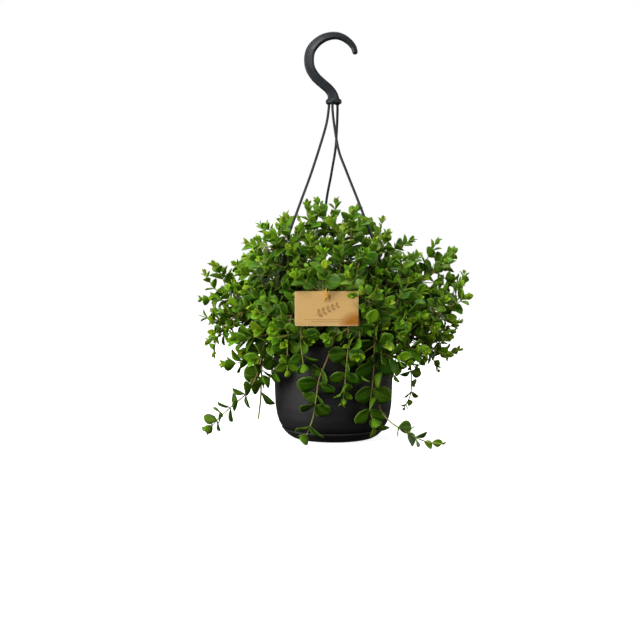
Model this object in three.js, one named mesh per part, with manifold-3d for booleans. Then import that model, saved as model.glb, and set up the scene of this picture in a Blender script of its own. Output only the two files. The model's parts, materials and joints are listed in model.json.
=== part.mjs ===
// A trailing jade peperomia in its hanging pot: leafy stems in soil, a pot with a clip-on saucer,
// a hanger of one hook and three strands, and a plain card tied to a stem with twine.
// Millimetres, +Z up. The front is -Y. The origin is where a rail bears under the top of the hook's crook.
import * as THREE from "three";
import { mergeVertices } from "three/addons/utils/BufferGeometryUtils.js";
import Module from "manifold-3d";

const wasm = await Module();
wasm.setup();

// Driving dimensions
const GAP = 0.3; // left between two pieces that touch
const BASE_Z = -496; // underside of the saucer
const RIM_HEIGHT = 135; // top of the pot's rim above the saucer's underside
const WALL = 1.8; // pot and saucer
const SOIL_BELOW_RIM = 12;
const ROUND_SIDES = 28; // of the pot, the saucer and the soil
const DRAIN_RADIUS = 3;
const DRAIN_CIRCLE = 30;
const LUG_CIRCLE = 83; // radius of the circle on which the three lug holes lie
const LUG_RADIUS = 6.5;
const LUG_THICKNESS = 3;
const LUG_TOP_BELOW_RIM = 3;
const LUG_HOLE_RADIUS = 2.4;
const HOOK_THICKNESS = 8;
const HOOK_EDGE = 1.4; // bevel
const COLLAR_RADIUS = 10;
const COLLAR_TOP_Z = -73.5;
const COLLAR_HEIGHT = 5.5;
const STRAND_RADIUS = 1.6;
const SOCKET_RADIUS = 2.25;
const SOCKET_DEPTH = 3;
const KNOB_RADIUS = 3.2;
const CARD_WIDTH = 75;
const CARD_HEIGHT = 41;
const CARD_THICKNESS = 0.8;
const CARD_CENTRE = new THREE.Vector3(-9.2, -95, -328.6);
const PUNCH_RADIUS = 2.4;
const PUNCH_BELOW_TOP = 6.8;
const TWINE_RADIUS = 0.8;
const KNOT_RADIUS = 2.9;
const TAG_STEM_Y = -87.4; // of the stem that the card is tied to, behind the card
const STEM_RADIUS = 1.1;
const STEM_STRETCH = 21; // about the length of a stem's straight stretches
const ROOT_DEPTH = 14;
const ROOT_HOLE_RADIUS = 2.5;
const BLADE_THICKNESS = 0.65;
const GROWN_STEMS = 22; // tips on the dome, the front's included, which stems placed by hand take
const GROWN_BARE = 38; // leafless length of those, from the root
const LEAVES_ON_STEM = 11; // after which no pair is added
const PAIR_LEFT_OUT = 4; // every fourth pair, counted from the tip
const STEM_SPACING = 3.4; // least distance between the axes of two stems
const LEAF_SPACING = 3.8; // least distance between points of a leaf and of another stem
const LEAF_MARGIN = 0.4; // least space round a leaf
const LEAF_ROOT_HEIGHT = 1.1;

const RIM_Z = BASE_Z + RIM_HEIGHT;
const SOIL_Z = RIM_Z - SOIL_BELOW_RIM;
const LUG_TOP_Z = RIM_Z - LUG_TOP_BELOW_RIM;

// Outlines as [radius, height above the saucer's underside], from the bottom up
const POT_OUTSIDE = [
  [47, 2.2],
  [54.6, 4.6],
  [59.6, 8.6],
  [62.9, 13],
  [64.8, 14.2],
  [68.2, 19.2],
  [71.4, 28.6],
  [73.4, 42],
  [74, 56],
  [76, 121],
  [78.6, 122.6],
  [79, 133.6],
  [77.8, RIM_HEIGHT],
];
const SAUCER_OUTSIDE = [
  [48.5, 0],
  [52, 0.8],
  [57.6, 4.2],
  [62, 8.6],
  [65.4, 13],
];

// Colours and finishes
const plastic = { color: 0x2b2c28, roughness: 0.55, metalness: 0 };
const finishes = {
  pot: plastic,
  hanger: { color: 0x393f43, roughness: 0.42, metalness: 0 },
  soil: { color: 0x2a1d14, roughness: 0.95, metalness: 0 },
  card: { color: 0xd1aa6d, roughness: 0.85, metalness: 0 },
  twine: { color: 0xb98a4e, roughness: 0.9, metalness: 0 },
  leaf: { color: 0x4a7a1e, roughness: 0.5, metalness: 0 },
};

const group = new THREE.Group();

function addPiece(name, solid, finish) {
  const made = solid.getMesh();
  const geometry = new THREE.BufferGeometry();
  geometry.setAttribute("position", new THREE.BufferAttribute(made.vertProperties, made.numProp));
  geometry.setIndex(new THREE.BufferAttribute(made.triVerts, 1));
  geometry.computeVertexNormals();
  const mesh = new THREE.Mesh(
    geometry,
    new THREE.MeshStandardMaterial({ ...finishes[finish], flatShading: true }),
  );
  mesh.name = name;
  group.add(mesh);
}

function solidOf(geometry) {
  const bare = geometry.clone();
  bare.deleteAttribute("normal");
  bare.deleteAttribute("uv");
  const merged = mergeVertices(bare, 1e-4);
  return new wasm.Manifold(
    new wasm.Mesh({
      numProp: 3,
      vertProperties: merged.attributes.position.array,
      triVerts: new Uint32Array(merged.index.array),
    }),
  );
}

// A body turned round the Z axis from a closed outline of [radius, height] points, anticlockwise.
function turned(outline) {
  const points = outline.map(([radius, height]) => new THREE.Vector2(radius, height));
  const geometry = new THREE.LatheGeometry(points, ROUND_SIDES);
  geometry.rotateX(Math.PI / 2);
  return solidOf(geometry);
}

function upright(radius, height, sides, x, y, bottom) {
  const geometry = new THREE.CylinderGeometry(radius, radius, height, sides);
  geometry.rotateX(Math.PI / 2);
  geometry.translate(x, y, bottom + height / 2);
  return solidOf(geometry);
}

// A round rod of a given radius along a curve, as an extrusion with flat ends.
function rod(curve, radius, sides, steps) {
  const section = new THREE.Shape();
  for (let i = 0; i < sides; i++) {
    const angle = (2 * Math.PI * i) / sides;
    const x = radius * Math.cos(angle);
    const y = radius * Math.sin(angle);
    if (i === 0) section.moveTo(x, y);
    else section.lineTo(x, y);
  }
  section.closePath();
  const geometry = new THREE.ExtrudeGeometry(section, {
    steps,
    bevelEnabled: false,
    extrudePath: curve,
  });
  return solidOf(geometry);
}

function curveThrough(points) {
  return new THREE.CatmullRomCurve3(points, false, "catmullrom", 0.5);
}

// Lathe outlines run up the outside and down the inside, and start and end on the axis.
function lathePoints(outside, inside) {
  const bottom = outside[0][1];
  const floor = inside[0][1];
  const wall = [...inside].reverse();
  return [[0, bottom], ...outside, ...wall, [0, floor]].map(([r, h]) => [r, h + BASE_Z]);
}

const innerMouth = 76 - WALL;
const potWallInside = [
  [46, POT_OUTSIDE[0][1] + WALL],
  [58, 9.8],
  [66.4, 20],
  [71.6, 42],
  [innerMouth, RIM_HEIGHT],
];

// Radius of the pot's outside at a height z in the part's frame.
function potRadius(z) {
  const height = z - BASE_Z;
  const above = POT_OUTSIDE.findIndex(([, h]) => h >= height);
  if (above < 0) return 0;
  if (above === 0) return height > 0 ? POT_OUTSIDE[0][0] : 0;
  const [r0, h0] = POT_OUTSIDE[above - 1];
  const [r1, h1] = POT_OUTSIDE[above];
  return r0 + ((r1 - r0) * (height - h0)) / (h1 - h0);
}

const lugAngles = [211, 331, 91].map((degrees) => THREE.MathUtils.degToRad(degrees));

function makePot() {
  let pot = turned(lathePoints(POT_OUTSIDE, potWallInside));
  for (const angle of lugAngles) {
    const x = LUG_CIRCLE * Math.cos(angle);
    const y = LUG_CIRCLE * Math.sin(angle);
    const bottom = LUG_TOP_Z - LUG_THICKNESS;
    pot = pot.add(upright(LUG_RADIUS, LUG_THICKNESS, 8, x, y, bottom));
    pot = pot.subtract(upright(LUG_HOLE_RADIUS, 3 * LUG_THICKNESS, 6, x, y, bottom - LUG_THICKNESS));
  }
  for (let i = 0; i < 5; i++) {
    const angle = (2 * Math.PI * i) / 5;
    const x = DRAIN_CIRCLE * Math.cos(angle);
    const y = DRAIN_CIRCLE * Math.sin(angle);
    pot = pot.subtract(upright(DRAIN_RADIUS, 4 * WALL, 6, x, y, BASE_Z));
  }
  addPiece("pot", pot, "pot");
}

function makeSaucer() {
  const inside = [
    [47.6, POT_OUTSIDE[0][1] - GAP],
    [55.2, 4.2],
    [60.2, 8.3],
    [63.6, 13],
  ];
  addPiece("saucer", turned(lathePoints(SAUCER_OUTSIDE, inside)), "pot");
}

// The hook's line as [x, z, width], from the tip round the crook and down to the collar
const HOOK_LINE = [
  [26.4, -15.2, 6.8],
  [24.4, -9.4, 7.2],
  [19, -3, 7.9],
  [10, 2.8, 8.6],
  [0, 4.6, 9.2],
  [-11.6, 2, 10.2],
  [-21.8, -4.8, 11.2],
  [-28.6, -14, 12],
  [-30.6, -25.5, 12.4],
  [-28.8, -36, 12.2],
  [-22.6, -46, 12],
  [-14, -54, 11.8],
  [-6, -61, 11.8],
  [-1.4, -68, 13],
  [0, -76, 16],
];
const HOOK_TIP_STEPS = 5;

function makeHook() {
  const line = HOOK_LINE.map(([x, z]) => new THREE.Vector2(x, z));
  const sides = [[], []];
  line.forEach((point, i) => {
    const along = line[Math.min(i + 1, line.length - 1)].clone().sub(line[Math.max(i - 1, 0)]).normalize();
    const across = new THREE.Vector2(-along.y, along.x).multiplyScalar(HOOK_LINE[i][2] / 2);
    sides[0].push(point.clone().add(across));
    sides[1].push(point.clone().sub(across));
  });
  const tip = line[0].clone();
  const startAngle = sides[1][0].clone().sub(tip).angle();
  const round = [];
  for (let i = 1; i < HOOK_TIP_STEPS; i++) {
    const angle = startAngle - (Math.PI * i) / HOOK_TIP_STEPS;
    const reach = HOOK_LINE[0][2] / 2;
    round.push(tip.clone().add(new THREE.Vector2(Math.cos(angle), Math.sin(angle)).multiplyScalar(reach)));
  }
  const outline = [...sides[0], ...[...sides[1]].reverse(), ...round];
  const geometry = new THREE.ExtrudeGeometry(new THREE.Shape(outline), {
    depth: HOOK_THICKNESS - 2 * HOOK_EDGE,
    bevelThickness: HOOK_EDGE,
    bevelSize: HOOK_EDGE,
    bevelOffset: -HOOK_EDGE,
    bevelSegments: 1,
    steps: 1,
  });
  geometry.translate(0, 0, HOOK_EDGE - HOOK_THICKNESS / 2);
  geometry.rotateX(Math.PI / 2);
  const collarBottom = COLLAR_TOP_Z - COLLAR_HEIGHT;
  let hook = solidOf(geometry).add(upright(COLLAR_RADIUS, COLLAR_HEIGHT, 20, 0, 0, collarBottom));
  for (const [x, y] of STRAND_TOPS) {
    const depth = SOCKET_DEPTH + 1;
    hook = hook.subtract(upright(SOCKET_RADIUS, depth, 6, x, y, collarBottom - 1));
  }
  addPiece("hook", hook, "hanger");
}

// Where the three strands leave the collar, and the middle of each as it bows outwards
const STRAND_TOPS = [
  [-6, -1.5],
  [-1.4, -6],
  [4.6, 3.4],
];
const STRAND_BOWS = [
  [
    [-10.5, -5, -110],
    [-27, -13, -163],
    [-43, -21, -207],
    [-56, -29, -245],
    [-65.5, -36, -295],
  ],
  [
    [0.5, -8, -105],
    [6, -12, -137],
    [15.8, -16.5, -164],
    [37.5, -27, -220],
    [60, -36, -285],
  ],
  [
    [4.2, 6.5, -106],
    [2.4, 11, -134],
    [-2.6, 19, -164],
    [-10, 36, -210],
    [-10, 60, -280],
  ],
];

function strandPoints(i) {
  const [x, y] = STRAND_TOPS[i];
  const top = COLLAR_TOP_Z - COLLAR_HEIGHT + SOCKET_DEPTH - GAP;
  const endX = LUG_CIRCLE * Math.cos(lugAngles[i]);
  const endY = LUG_CIRCLE * Math.sin(lugAngles[i]);
  const under = LUG_TOP_Z - LUG_THICKNESS - GAP - KNOB_RADIUS;
  return [
    [x, y, top],
    [x * 1.05, y * 1.05, top - 10],
    ...STRAND_BOWS[i],
    [endX, endY, LUG_TOP_Z + 12],
    [endX, endY, under],
  ].map((point) => new THREE.Vector3(...point));
}

function makeStrands() {
  lugAngles.forEach((angle, i) => {
    const points = strandPoints(i);
    const knob = new THREE.CylinderGeometry(KNOB_RADIUS, STRAND_RADIUS, KNOB_RADIUS, 8);
    knob.rotateX(Math.PI / 2);
    const end = points[points.length - 1];
    knob.translate(end.x, end.y, end.z + KNOB_RADIUS / 2);
    const strand = rod(curveThrough(points), STRAND_RADIUS, 5, 18).add(solidOf(knob));
    addPiece("strand_" + (i + 1), strand, "hanger");
  });
}

function makeCard() {
  const card = new THREE.Shape();
  const halfWidth = CARD_WIDTH / 2;
  const halfHeight = CARD_HEIGHT / 2;
  const clip = 1.6; // worn corners
  card.moveTo(-halfWidth + clip, -halfHeight);
  card.lineTo(halfWidth - clip, -halfHeight);
  card.lineTo(halfWidth, -halfHeight + clip);
  card.lineTo(halfWidth, halfHeight - clip);
  card.lineTo(halfWidth - clip, halfHeight);
  card.lineTo(-halfWidth + clip, halfHeight);
  card.lineTo(-halfWidth, halfHeight - clip);
  card.lineTo(-halfWidth, -halfHeight + clip);
  card.closePath();
  const punch = new THREE.Path();
  punch.absarc(0, halfHeight - PUNCH_BELOW_TOP, PUNCH_RADIUS, 0, 2 * Math.PI, true);
  card.holes.push(punch);
  const geometry = new THREE.ExtrudeGeometry(card, {
    depth: CARD_THICKNESS,
    bevelEnabled: false,
    curveSegments: 5,
  });
  geometry.rotateX(Math.PI / 2);
  geometry.translate(CARD_CENTRE.x, CARD_CENTRE.y + CARD_THICKNESS / 2, CARD_CENTRE.z);
  addPiece("tag_card", solidOf(geometry), "card");
}

const cardTop = CARD_CENTRE.z + CARD_HEIGHT / 2;
const punchZ = cardTop - PUNCH_BELOW_TOP;

// The twine leaves its knot at the card's front, goes over the card's top edge, round the stem behind
// and back through the punched hole.
function makeTwine() {
  const x = CARD_CENTRE.x;
  const front = CARD_CENTRE.y - 3;
  const knotZ = punchZ + 1.2;
  const points = [
    [x - 0.6, front, knotZ],
    [x - 1.4, front + 0.2, cardTop - 1],
    [x - 2.2, CARD_CENTRE.y, cardTop + 2.4],
    [x - 6.2, TAG_STEM_Y - 1, cardTop + 1.6],
    [x - 4.6, TAG_STEM_Y + 2.9, cardTop + 0.4],
    [x - 1.6, TAG_STEM_Y + 3.2, cardTop - 1.4],
    [x + 1.4, TAG_STEM_Y + 0.6, cardTop - 3.6],
    [x + 0.6, CARD_CENTRE.y + 2.6, punchZ - 0.3],
    [x, CARD_CENTRE.y, punchZ - 0.5],
    [x + 0.2, front, knotZ - 0.8],
  ].map((point) => new THREE.Vector3(...point));
  const knot = new THREE.SphereGeometry(KNOT_RADIUS, 6, 4);
  knot.scale(0.95, 0.75, 1.25);
  knot.translate(x - 0.2, front, knotZ);
  addPiece("tag_twine", rod(curveThrough(points), TWINE_RADIUS, 4, 22).add(solidOf(knot)), "twine");
}
// The plant. A repeatable draw between 0 and 1.
function drawsFrom(seed) {
  let state = (seed * 7919 + 104729) % 4294967296;
  const draw = () => {
    state = (state * 1664525 + 1013904223) % 4294967296;
    return state / 4294967296;
  };
  draw();
  draw();
  return draw;
}

const add = (a, b) => [a[0] + b[0], a[1] + b[1], a[2] + b[2]];
const subtract = (a, b) => [a[0] - b[0], a[1] - b[1], a[2] - b[2]];
const scale = (a, s) => [a[0] * s, a[1] * s, a[2] * s];
const dot = (a, b) => a[0] * b[0] + a[1] * b[1] + a[2] * b[2];
const cross = (a, b) => [
  a[1] * b[2] - a[2] * b[1],
  a[2] * b[0] - a[0] * b[2],
  a[0] * b[1] - a[1] * b[0],
];
const size = (a) => Math.sqrt(dot(a, a));
const unit = (a) => scale(a, 1 / size(a));
const mix = (a, b, t) => add(scale(a, 1 - t), scale(b, t));
const squareTo = (a, axis) => unit(subtract(a, scale(axis, dot(a, axis))));

// A smooth line through hand points, as evenly divided spans of a Catmull-Rom curve.
const SPAN_STEPS = 12;
function smoothLine(points) {
  const last = points.length - 1;
  const before = subtract(scale(points[0], 2), points[1]);
  const after = subtract(scale(points[last], 2), points[last - 1]);
  const all = [before, ...points, after];
  const line = [];
  for (let i = 1; i < all.length - 2; i++) {
    const leave = scale(subtract(all[i + 1], all[i - 1]), 0.5);
    const arrive = scale(subtract(all[i + 2], all[i]), 0.5);
    for (let j = 0; j < SPAN_STEPS; j++) {
      const t = j / SPAN_STEPS;
      const blend = t * t * (3 - 2 * t);
      const bend = add(scale(leave, t * (1 - t) * (1 - t)), scale(arrive, t * t * (t - 1)));
      line.push(add(mix(all[i], all[i + 1], blend), bend));
    }
  }
  line.push(points[last]);
  return line;
}

function lineLength(line) {
  let length = 0;
  for (let i = 1; i < line.length; i++) length += size(subtract(line[i], line[i - 1]));
  return length;
}

// The point, the heading and a side that turns as little as it can, at a distance along a line.
function alongLine(line, distance) {
  let left = distance;
  let side = [1, 0, 0];
  for (let i = 1; i < line.length; i++) {
    const step = subtract(line[i], line[i - 1]);
    const length = size(step);
    const heading = scale(step, 1 / length);
    side = squareTo(side, heading);
    if (left <= length || i === line.length - 1) {
      return { point: add(line[i - 1], scale(heading, left)), heading, side };
    }
    left -= length;
  }
}

// Stems placed by hand where the photograph shows them: points from the soil to the tip. "bare" is the
// leafless length from the root, "end" the leafless length at a cut tip, "mature" how many pairs younger
// than its last one the stem has lost, and "vigour" scales the leaves.
const PLACED = [
  // Left trailing stem, down to the level of the saucer
  {
    bare: 70,
    mature: 2,
    vigour: 0.8,
    points: [
      [-52, -24], [-72, -38, -338], [-84, -47, -372], [-93, -50, -410], [-106, -46, -434],
      [-124, -38, -451], [-142, -28, -468], [-156, -14, -485],
    ],
  },
  // Thin right trailing stem with a leafy end
  {
    bare: 205,
    vigour: 0.78,
    points: [
      [44, -36], [55, -64, -339], [58, -72, -390], [53, -71, -441], [64, -82, -462],
      [86, -98, -475], [105, -110, -483], [124, -118, -485],
    ],
  },
  // Right arcs with upturned ends
  {
    bare: 60,
    vigour: 0.8,
    points: [
      [32, 6], [58, -4, -318], [90, -10, -300], [116, -12, -292], [141, -14, -282],
      [146, -14, -266],
    ],
  },
  {
    bare: 60,
    vigour: 0.8,
    points: [
      [46, -14], [74, -26, -330], [98, -34, -348], [122, -38, -344], [149, -36, -325],
      [158, -34, -306], [160, -32, -289],
    ],
  },
  {
    bare: 80,
    vigour: 0.72,
    points: [
      [50, -6], [76, -14, -333], [98, -20, -368], [122, -24, -381], [143, -26, -386],
      [156, -26, -383],
    ],
  },
  // Over the front of the pot
  {
    bare: 126,
    mature: 3,
    vigour: 1.05,
    points: [
      [-2, -52], [3, -79, -338], [0, -88, -364], [-9, -88, -390], [-18, -86, -413],
      [-22, -84, -440], [-26, -82, -462], [-33, -80, -481],
    ],
  },
  {
    bare: 64,
    vigour: 0.95,
    points: [
      [12, -50], [15, -80, -336], [17, -90, -364], [15, -89, -390], [13, -87, -414],
      [10, -86, -440],
    ],
  },
  {
    bare: 56,
    mature: 2,
    vigour: 1.1,
    points: [
      [36, -41], [45, -71, -335], [48, -79, -376], [46, -77, -417], [43, -73, -452],
      [50, -68, -470],
    ],
  },
  {
    bare: 40,
    mature: 1,
    vigour: 1,
    points: [[-40, -40], [-50, -72, -338], [-55, -84, -368], [-56, -86, -402]],
  },
  {
    bare: 50,
    mature: 2,
    vigour: 1,
    points: [[20, -50], [28, -80, -337], [30, -88, -364], [28, -85, -390], [32, -82, -410]],
  },
  {
    bare: 84,
    mature: 1,
    vigour: 0.95,
    points: [[50, -28], [66, -58, -335], [74, -63, -362], [75, -61, -388], [72, -60, -411]],
  },
  {
    bare: 46,
    mature: 3,
    vigour: 1.1,
    points: [[-44, -30], [-68, -56, -334], [-78, -58, -364], [-74, -56, -394], [-78, -52, -416]],
  },
  {
    bare: 46,
    mature: 2,
    vigour: 1.05,
    points: [[-28, -48], [-36, -80, -338], [-40, -90, -362], [-37, -92, -394]],
  },
  // Cut stem at the left
  {
    bare: 66,
    end: 34,
    mature: 4,
    vigour: 1.05,
    points: [
      [-52, -8], [-76, -16, -338], [-87, -21, -378], [-90, -22, -420], [-91, -22, -446],
      [-94, -22, -471],
    ],
  },
  // Left side
  {
    bare: 50,
    vigour: 0.76,
    points: [
      [-48, 2], [-80, -6, -336], [-112, -10, -338], [-136, -12, -354], [-147, -14, -374],
      [-149, -14, -390],
    ],
  },
  {
    bare: 50,
    vigour: 0.85,
    points: [
      [-36, 8], [-66, 6, -326], [-104, 2, -330], [-136, 0, -318], [-152, 0, -306], [-160, 0, -290],
    ],
  },
  {
    bare: 54,
    vigour: 0.82,
    points: [[-50, 14], [-82, 14, -340], [-114, 10, -352], [-146, 8, -350], [-170, 8, -343]],
  },
  // Right side, hanging
  {
    bare: 60,
    vigour: 0.66,
    points: [
      [56, 6], [83, -5, -340], [93, -15, -376], [96, -24, -410], [96, -24, -438], [88, -24, -456],
    ],
  },
  {
    bare: 60,
    vigour: 0.72,
    points: [[52, 14], [84, 2, -342], [106, -4, -370], [122, -8, -392], [131, -8, -410]],
  },
  // The stem that the card is tied to
  {
    bare: 92,
    vigour: 0.95,
    points: [
      [-14, -50], [-14, -76, -340], [-12.6, TAG_STEM_Y, -318], [-13.4, TAG_STEM_Y, -300],
      [-14, -84, -280], [-13, -84, -262],
    ],
  },
  // Bright rosette over the card's right corner, and stems beside the card
  {
    bare: 58,
    vigour: 0.9,
    points: [[28, -46], [36, -74, -337], [45, -88, -322], [40, -101, -312], [33, -107, -307]],
  },
  {
    bare: 46,
    vigour: 0.95,
    points: [[-36, -46], [-60, -68, -342], [-72, -76, -334], [-82, -82, -318]],
  },
  {
    bare: 40,
    vigour: 1.05,
    points: [[44, -22], [68, -52, -334], [86, -66, -336], [106, -74, -346]],
  },
  {
    bare: 40,
    vigour: 1.1,
    points: [[2, -40], [6, -62, -330], [14, -78, -306], [17, -86, -284]],
  },
  // Crown, the middle
  {
    bare: 70,
    vigour: 0.85,
    points: [[-14, 2], [-20, 0, -300], [-28, -4, -250], [-33, -10, -202]],
  },
  {
    bare: 70,
    vigour: 0.85,
    points: [[2, 8], [3, 8, -300], [0, 6, -250], [3, 5, -199]],
  },
  {
    bare: 66,
    vigour: 0.85,
    points: [[10, -12], [14, -16, -300], [20, -22, -255], [23, -25, -213]],
  },
  {
    bare: 60,
    vigour: 0.82,
    points: [[-26, -6], [-46, -8, -302], [-70, -12, -262], [-91, -16, -230]],
  },
  {
    bare: 60,
    vigour: 0.82,
    points: [[26, 0], [38, -2, -300], [52, -4, -262], [61, -6, -223]],
  },
  // Crown, the front
  {
    bare: 56,
    vigour: 0.95,
    points: [[16, -30], [22, -44, -312], [28, -56, -286], [31, -60, -264]],
  },
  {
    bare: 56,
    vigour: 0.9,
    points: [[-18, -24], [-36, -34, -300], [-53, -42, -262], [-62, -44, -224]],
  },
  {
    bare: 56,
    vigour: 0.95,
    points: [[-8, -28], [-16, -42, -304], [-26, -50, -272], [-30, -50, -246]],
  },
  {
    bare: 56,
    vigour: 0.9,
    points: [[4, -26], [6, -40, -300], [10, -48, -262], [12, -49, -234]],
  },
  {
    bare: 56,
    vigour: 0.9,
    points: [[24, -20], [38, -34, -304], [47, -44, -276], [50, -47, -250]],
  },
  {
    bare: 50,
    vigour: 0.95,
    points: [[-36, -20], [-62, -28, -314], [-84, -38, -286], [-98, -44, -264]],
  },
  {
    bare: 50,
    vigour: 0.95,
    points: [[40, -12], [66, -24, -316], [80, -38, -294], [86, -46, -270]],
  },
];

// Stems placed by rule: tips spread evenly over a dome round the pot's mouth by the golden angle, each
// from a root on the same side, rising steeply and arching the more, the lower its tip lies.
const GOLDEN_ANGLE = Math.PI * (3 - Math.sqrt(5));
const DOME_CENTRE_Z = -345;
const DOME_RADIUS = 156;
const DOME_RISE = 143;
const DOME_DROP = 92;
const DOME_TAPER = 0.8; // 0.5 for a round dome, more for a narrower crown
const DOME_LEAN = 24; // to the left, at the dome's top
const FRONT_Y = -34; // the stems placed by hand fill the dome in front of this

function grownPoints(i, draw) {
  const level = 0.9 - (1.5 * (i + 0.5)) / GROWN_STEMS; // sine of the tip's height on the dome
  const angle = GOLDEN_ANGLE * i + 0.9 + (draw() - 0.5) * 0.5;
  const across = DOME_RADIUS * (1 - level * level) ** DOME_TAPER * (0.9 + 0.14 * draw());
  const up = level > 0 ? DOME_RISE * level : DOME_DROP * level;
  const lean = level > 0 ? DOME_LEAN * level * level : 0;
  const tip = [across * Math.cos(angle) - lean, across * Math.sin(angle), DOME_CENTRE_Z + up];
  const rootAngle = angle + (draw() - 0.5) * 1.1;
  const rootRadius = 12 + 44 * Math.min(1, across / 120) * (0.55 + 0.45 * draw());
  const root = [rootRadius * Math.cos(rootAngle), rootRadius * Math.sin(rootAngle)];
  const start = [...root, SOIL_Z];
  const arch = 14 + 44 * Math.max(0, 0.55 - level) + 8 * draw();
  const over = add(mix(start, tip, 0.5), [0, 0, arch]);
  const sag = level > 0.55 ? 0 : 7 * draw() - (level < -0.1 ? 10 : 0);
  const near = add(mix(over, tip, 0.62), [0, 0, -sag]);
  return [root, over, near, tip];
}

const SAMPLE_STEP = 2.5;
function samplesOf(line) {
  const length = lineLength(line);
  const count = Math.ceil(length / SAMPLE_STEP);
  return Array.from({ length: count + 1 }, (_, i) => alongLine(line, (length * i) / count).point);
}

function apart(samples, others, distance) {
  return samples.every((p) => others.every((q) => size(subtract(p, q)) >= distance));
}

// True where a point keeps clear of the pot's wall and rim by a margin.
function clearOfPot(point, margin) {
  const radius = Math.hypot(point[0], point[1]);
  const inner = innerMouth - margin;
  if (point[2] > RIM_Z + margin) return true;
  if (radius < inner && point[2] > SOIL_Z - ROOT_DEPTH - 1) return true;
  return radius > potRadius(Math.min(point[2], RIM_Z - 2)) + margin && point[2] > BASE_Z + margin;
}

// The space that the card takes, as seen from the front, but for the corner that leaves may lie over.
const COVERED_CORNER = { x: 12, z: -334 }; // right of and above this
function nearCard(point, margin) {
  const x = Math.abs(point[0] - CARD_CENTRE.x);
  const z = Math.abs(point[2] - CARD_CENTRE.z);
  const inFront = point[1] < CARD_CENTRE.y + margin + 1;
  const clearOver = point[1] < CARD_CENTRE.y - margin - 1;
  if (clearOver && point[0] > COVERED_CORNER.x && point[2] > COVERED_CORNER.z) return false;
  return inFront && x < CARD_WIDTH / 2 + margin && z < CARD_HEIGHT / 2 + margin;
}

const strandLines = lugAngles.map((_, i) => smoothLine(strandPoints(i).map((p) => p.toArray())));
const strandSamples = strandLines.map(samplesOf);

function stemLine(points) {
  const [[x, y], ...rest] = points;
  return smoothLine([[x, y, SOIL_Z - ROOT_DEPTH], [x, y, SOIL_Z + 4], ...rest]);
}

const TRIES = 60;
function growStems() {
  const stems = [];
  const taken = strandSamples.map((samples) => ({ owner: -1, samples }));
  PLACED.forEach(({ points, bare, vigour, end = 0, mature = 0 }, i) => {
    const line = stemLine(points);
    taken.push({ owner: stems.length, samples: samplesOf(line) });
    stems.push({ line, bare, vigour, end, mature, seed: i + 1 });
  });
  for (let i = 0; i < GROWN_STEMS; i++) {
    for (let attempt = 0; attempt < TRIES; attempt++) {
      const seed = 100 + i * TRIES + attempt;
      const draw = drawsFrom(seed);
      const points = grownPoints(i, draw);
      if (points[points.length - 1][1] < FRONT_Y) continue;
      const line = stemLine(points);
      const samples = samplesOf(line);
      const clear =
        samples.every((p) => clearOfPot(p, STEM_RADIUS + 2) && !nearCard(p, 4)) &&
        taken.every((other) => apart(samples, other.samples, STEM_SPACING));
      if (!clear) continue;
      taken.push({ owner: stems.length, samples });
      const vigour = 0.85 + 0.25 * draw();
      stems.push({ line, bare: GROWN_BARE, vigour, end: 0, mature: 0, seed });
      break;
    }
  }
  return { stems, taken };
}

// Leaves stand in crossed pairs, close together, small and upright at the tip, and larger, wider apart
// and more open down the stem.
const PAIR_STEPS = [0.6, 4.5, 7, 9.5, 11.5, 12.5, 13.5, 14];
const LEAF_LENGTHS = [7.5, 12, 15.5, 18, 20.5, 21.5, 22];
const LEAF_WIDTH_SHARES = [0.55, 0.66, 0.77, 0.86, 0.91, 0.93, 0.94];
const LEAF_OPENINGS = [20, 36, 50, 60, 67, 71, 73];
const OPENING_PLAY = 26;
const ROLL_PLAY = 0.8;
const LEAF_TWIST = 0.9;
const atMost = (list, i) => list[Math.min(i, list.length - 1)];

// Which way the light comes from, for a leaf at a point: outwards from the plant's middle, and up.
const LIGHT_FROM_ABOVE = 0.42;
function lightAt(point) {
  const out = [point[0], point[1], 0.55 * (point[2] - DOME_CENTRE_Z)];
  const reach = Math.min(1, size(out) / 90);
  return unit(add([0, 0, LIGHT_FROM_ABOVE], scale(unit(out), reach)));
}

const QUARTER = Math.PI / 2;
function leafPairsOf({ line, bare, vigour, end, mature, seed }) {
  const draw = drawsFrom(seed + 5000);
  const length = lineLength(line);
  const baseRoll = QUARTER * draw();
  const pairs = [];
  let station = length - end;
  for (let number = 0; ; number++) {
    const age = number + mature;
    station -= atMost(PAIR_STEPS, number > 0 ? age : 0) * (0.9 + 0.2 * draw());
    if (station < bare) return pairs;
    const { point: base, heading, side } = alongLine(line, station);
    const other = cross(heading, side);
    const roll = baseRoll + (draw() - 0.5) * ROLL_PLAY;
    const leaves = [0, 1].map((opposite) => {
      const angle = roll + (number + 2 * opposite) * QUARTER;
      const openingDegrees = atMost(LEAF_OPENINGS, age) + (draw() - 0.5) * OPENING_PLAY;
      const opening = THREE.MathUtils.degToRad(openingDegrees);
      const across = add(scale(side, Math.cos(angle)), scale(other, Math.sin(angle)));
      const light = lightAt(base);
      const blade = atMost(LEAF_LENGTHS, age) * vigour * (0.88 + 0.24 * draw());
      const width = blade * atMost(LEAF_WIDTH_SHARES, age) * (0.94 + 0.12 * draw());
      let reach = add(scale(heading, Math.cos(opening)), scale(across, Math.sin(opening)));
      reach = unit(add(reach, scale(light, age > 1 ? 0.3 : 0.1)));
      reach = turnedFromPot(base, reach, blade);
      const inner = subtract(scale(heading, Math.sin(opening)), scale(across, Math.cos(opening)));
      const share = age < 2 ? 0.9 : age < 4 ? 0.5 : 0.3;
      const sway = scale(cross(heading, across), (draw() - 0.5) * LEAF_TWIST);
      const facing = add(mix(light, inner, share), sway);
      return { base, reach, normal: squareTo(facing, reach), length: blade, width, opposite };
    });
    pairs.push({ number, station, roll, leaves });
  }
}

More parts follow.
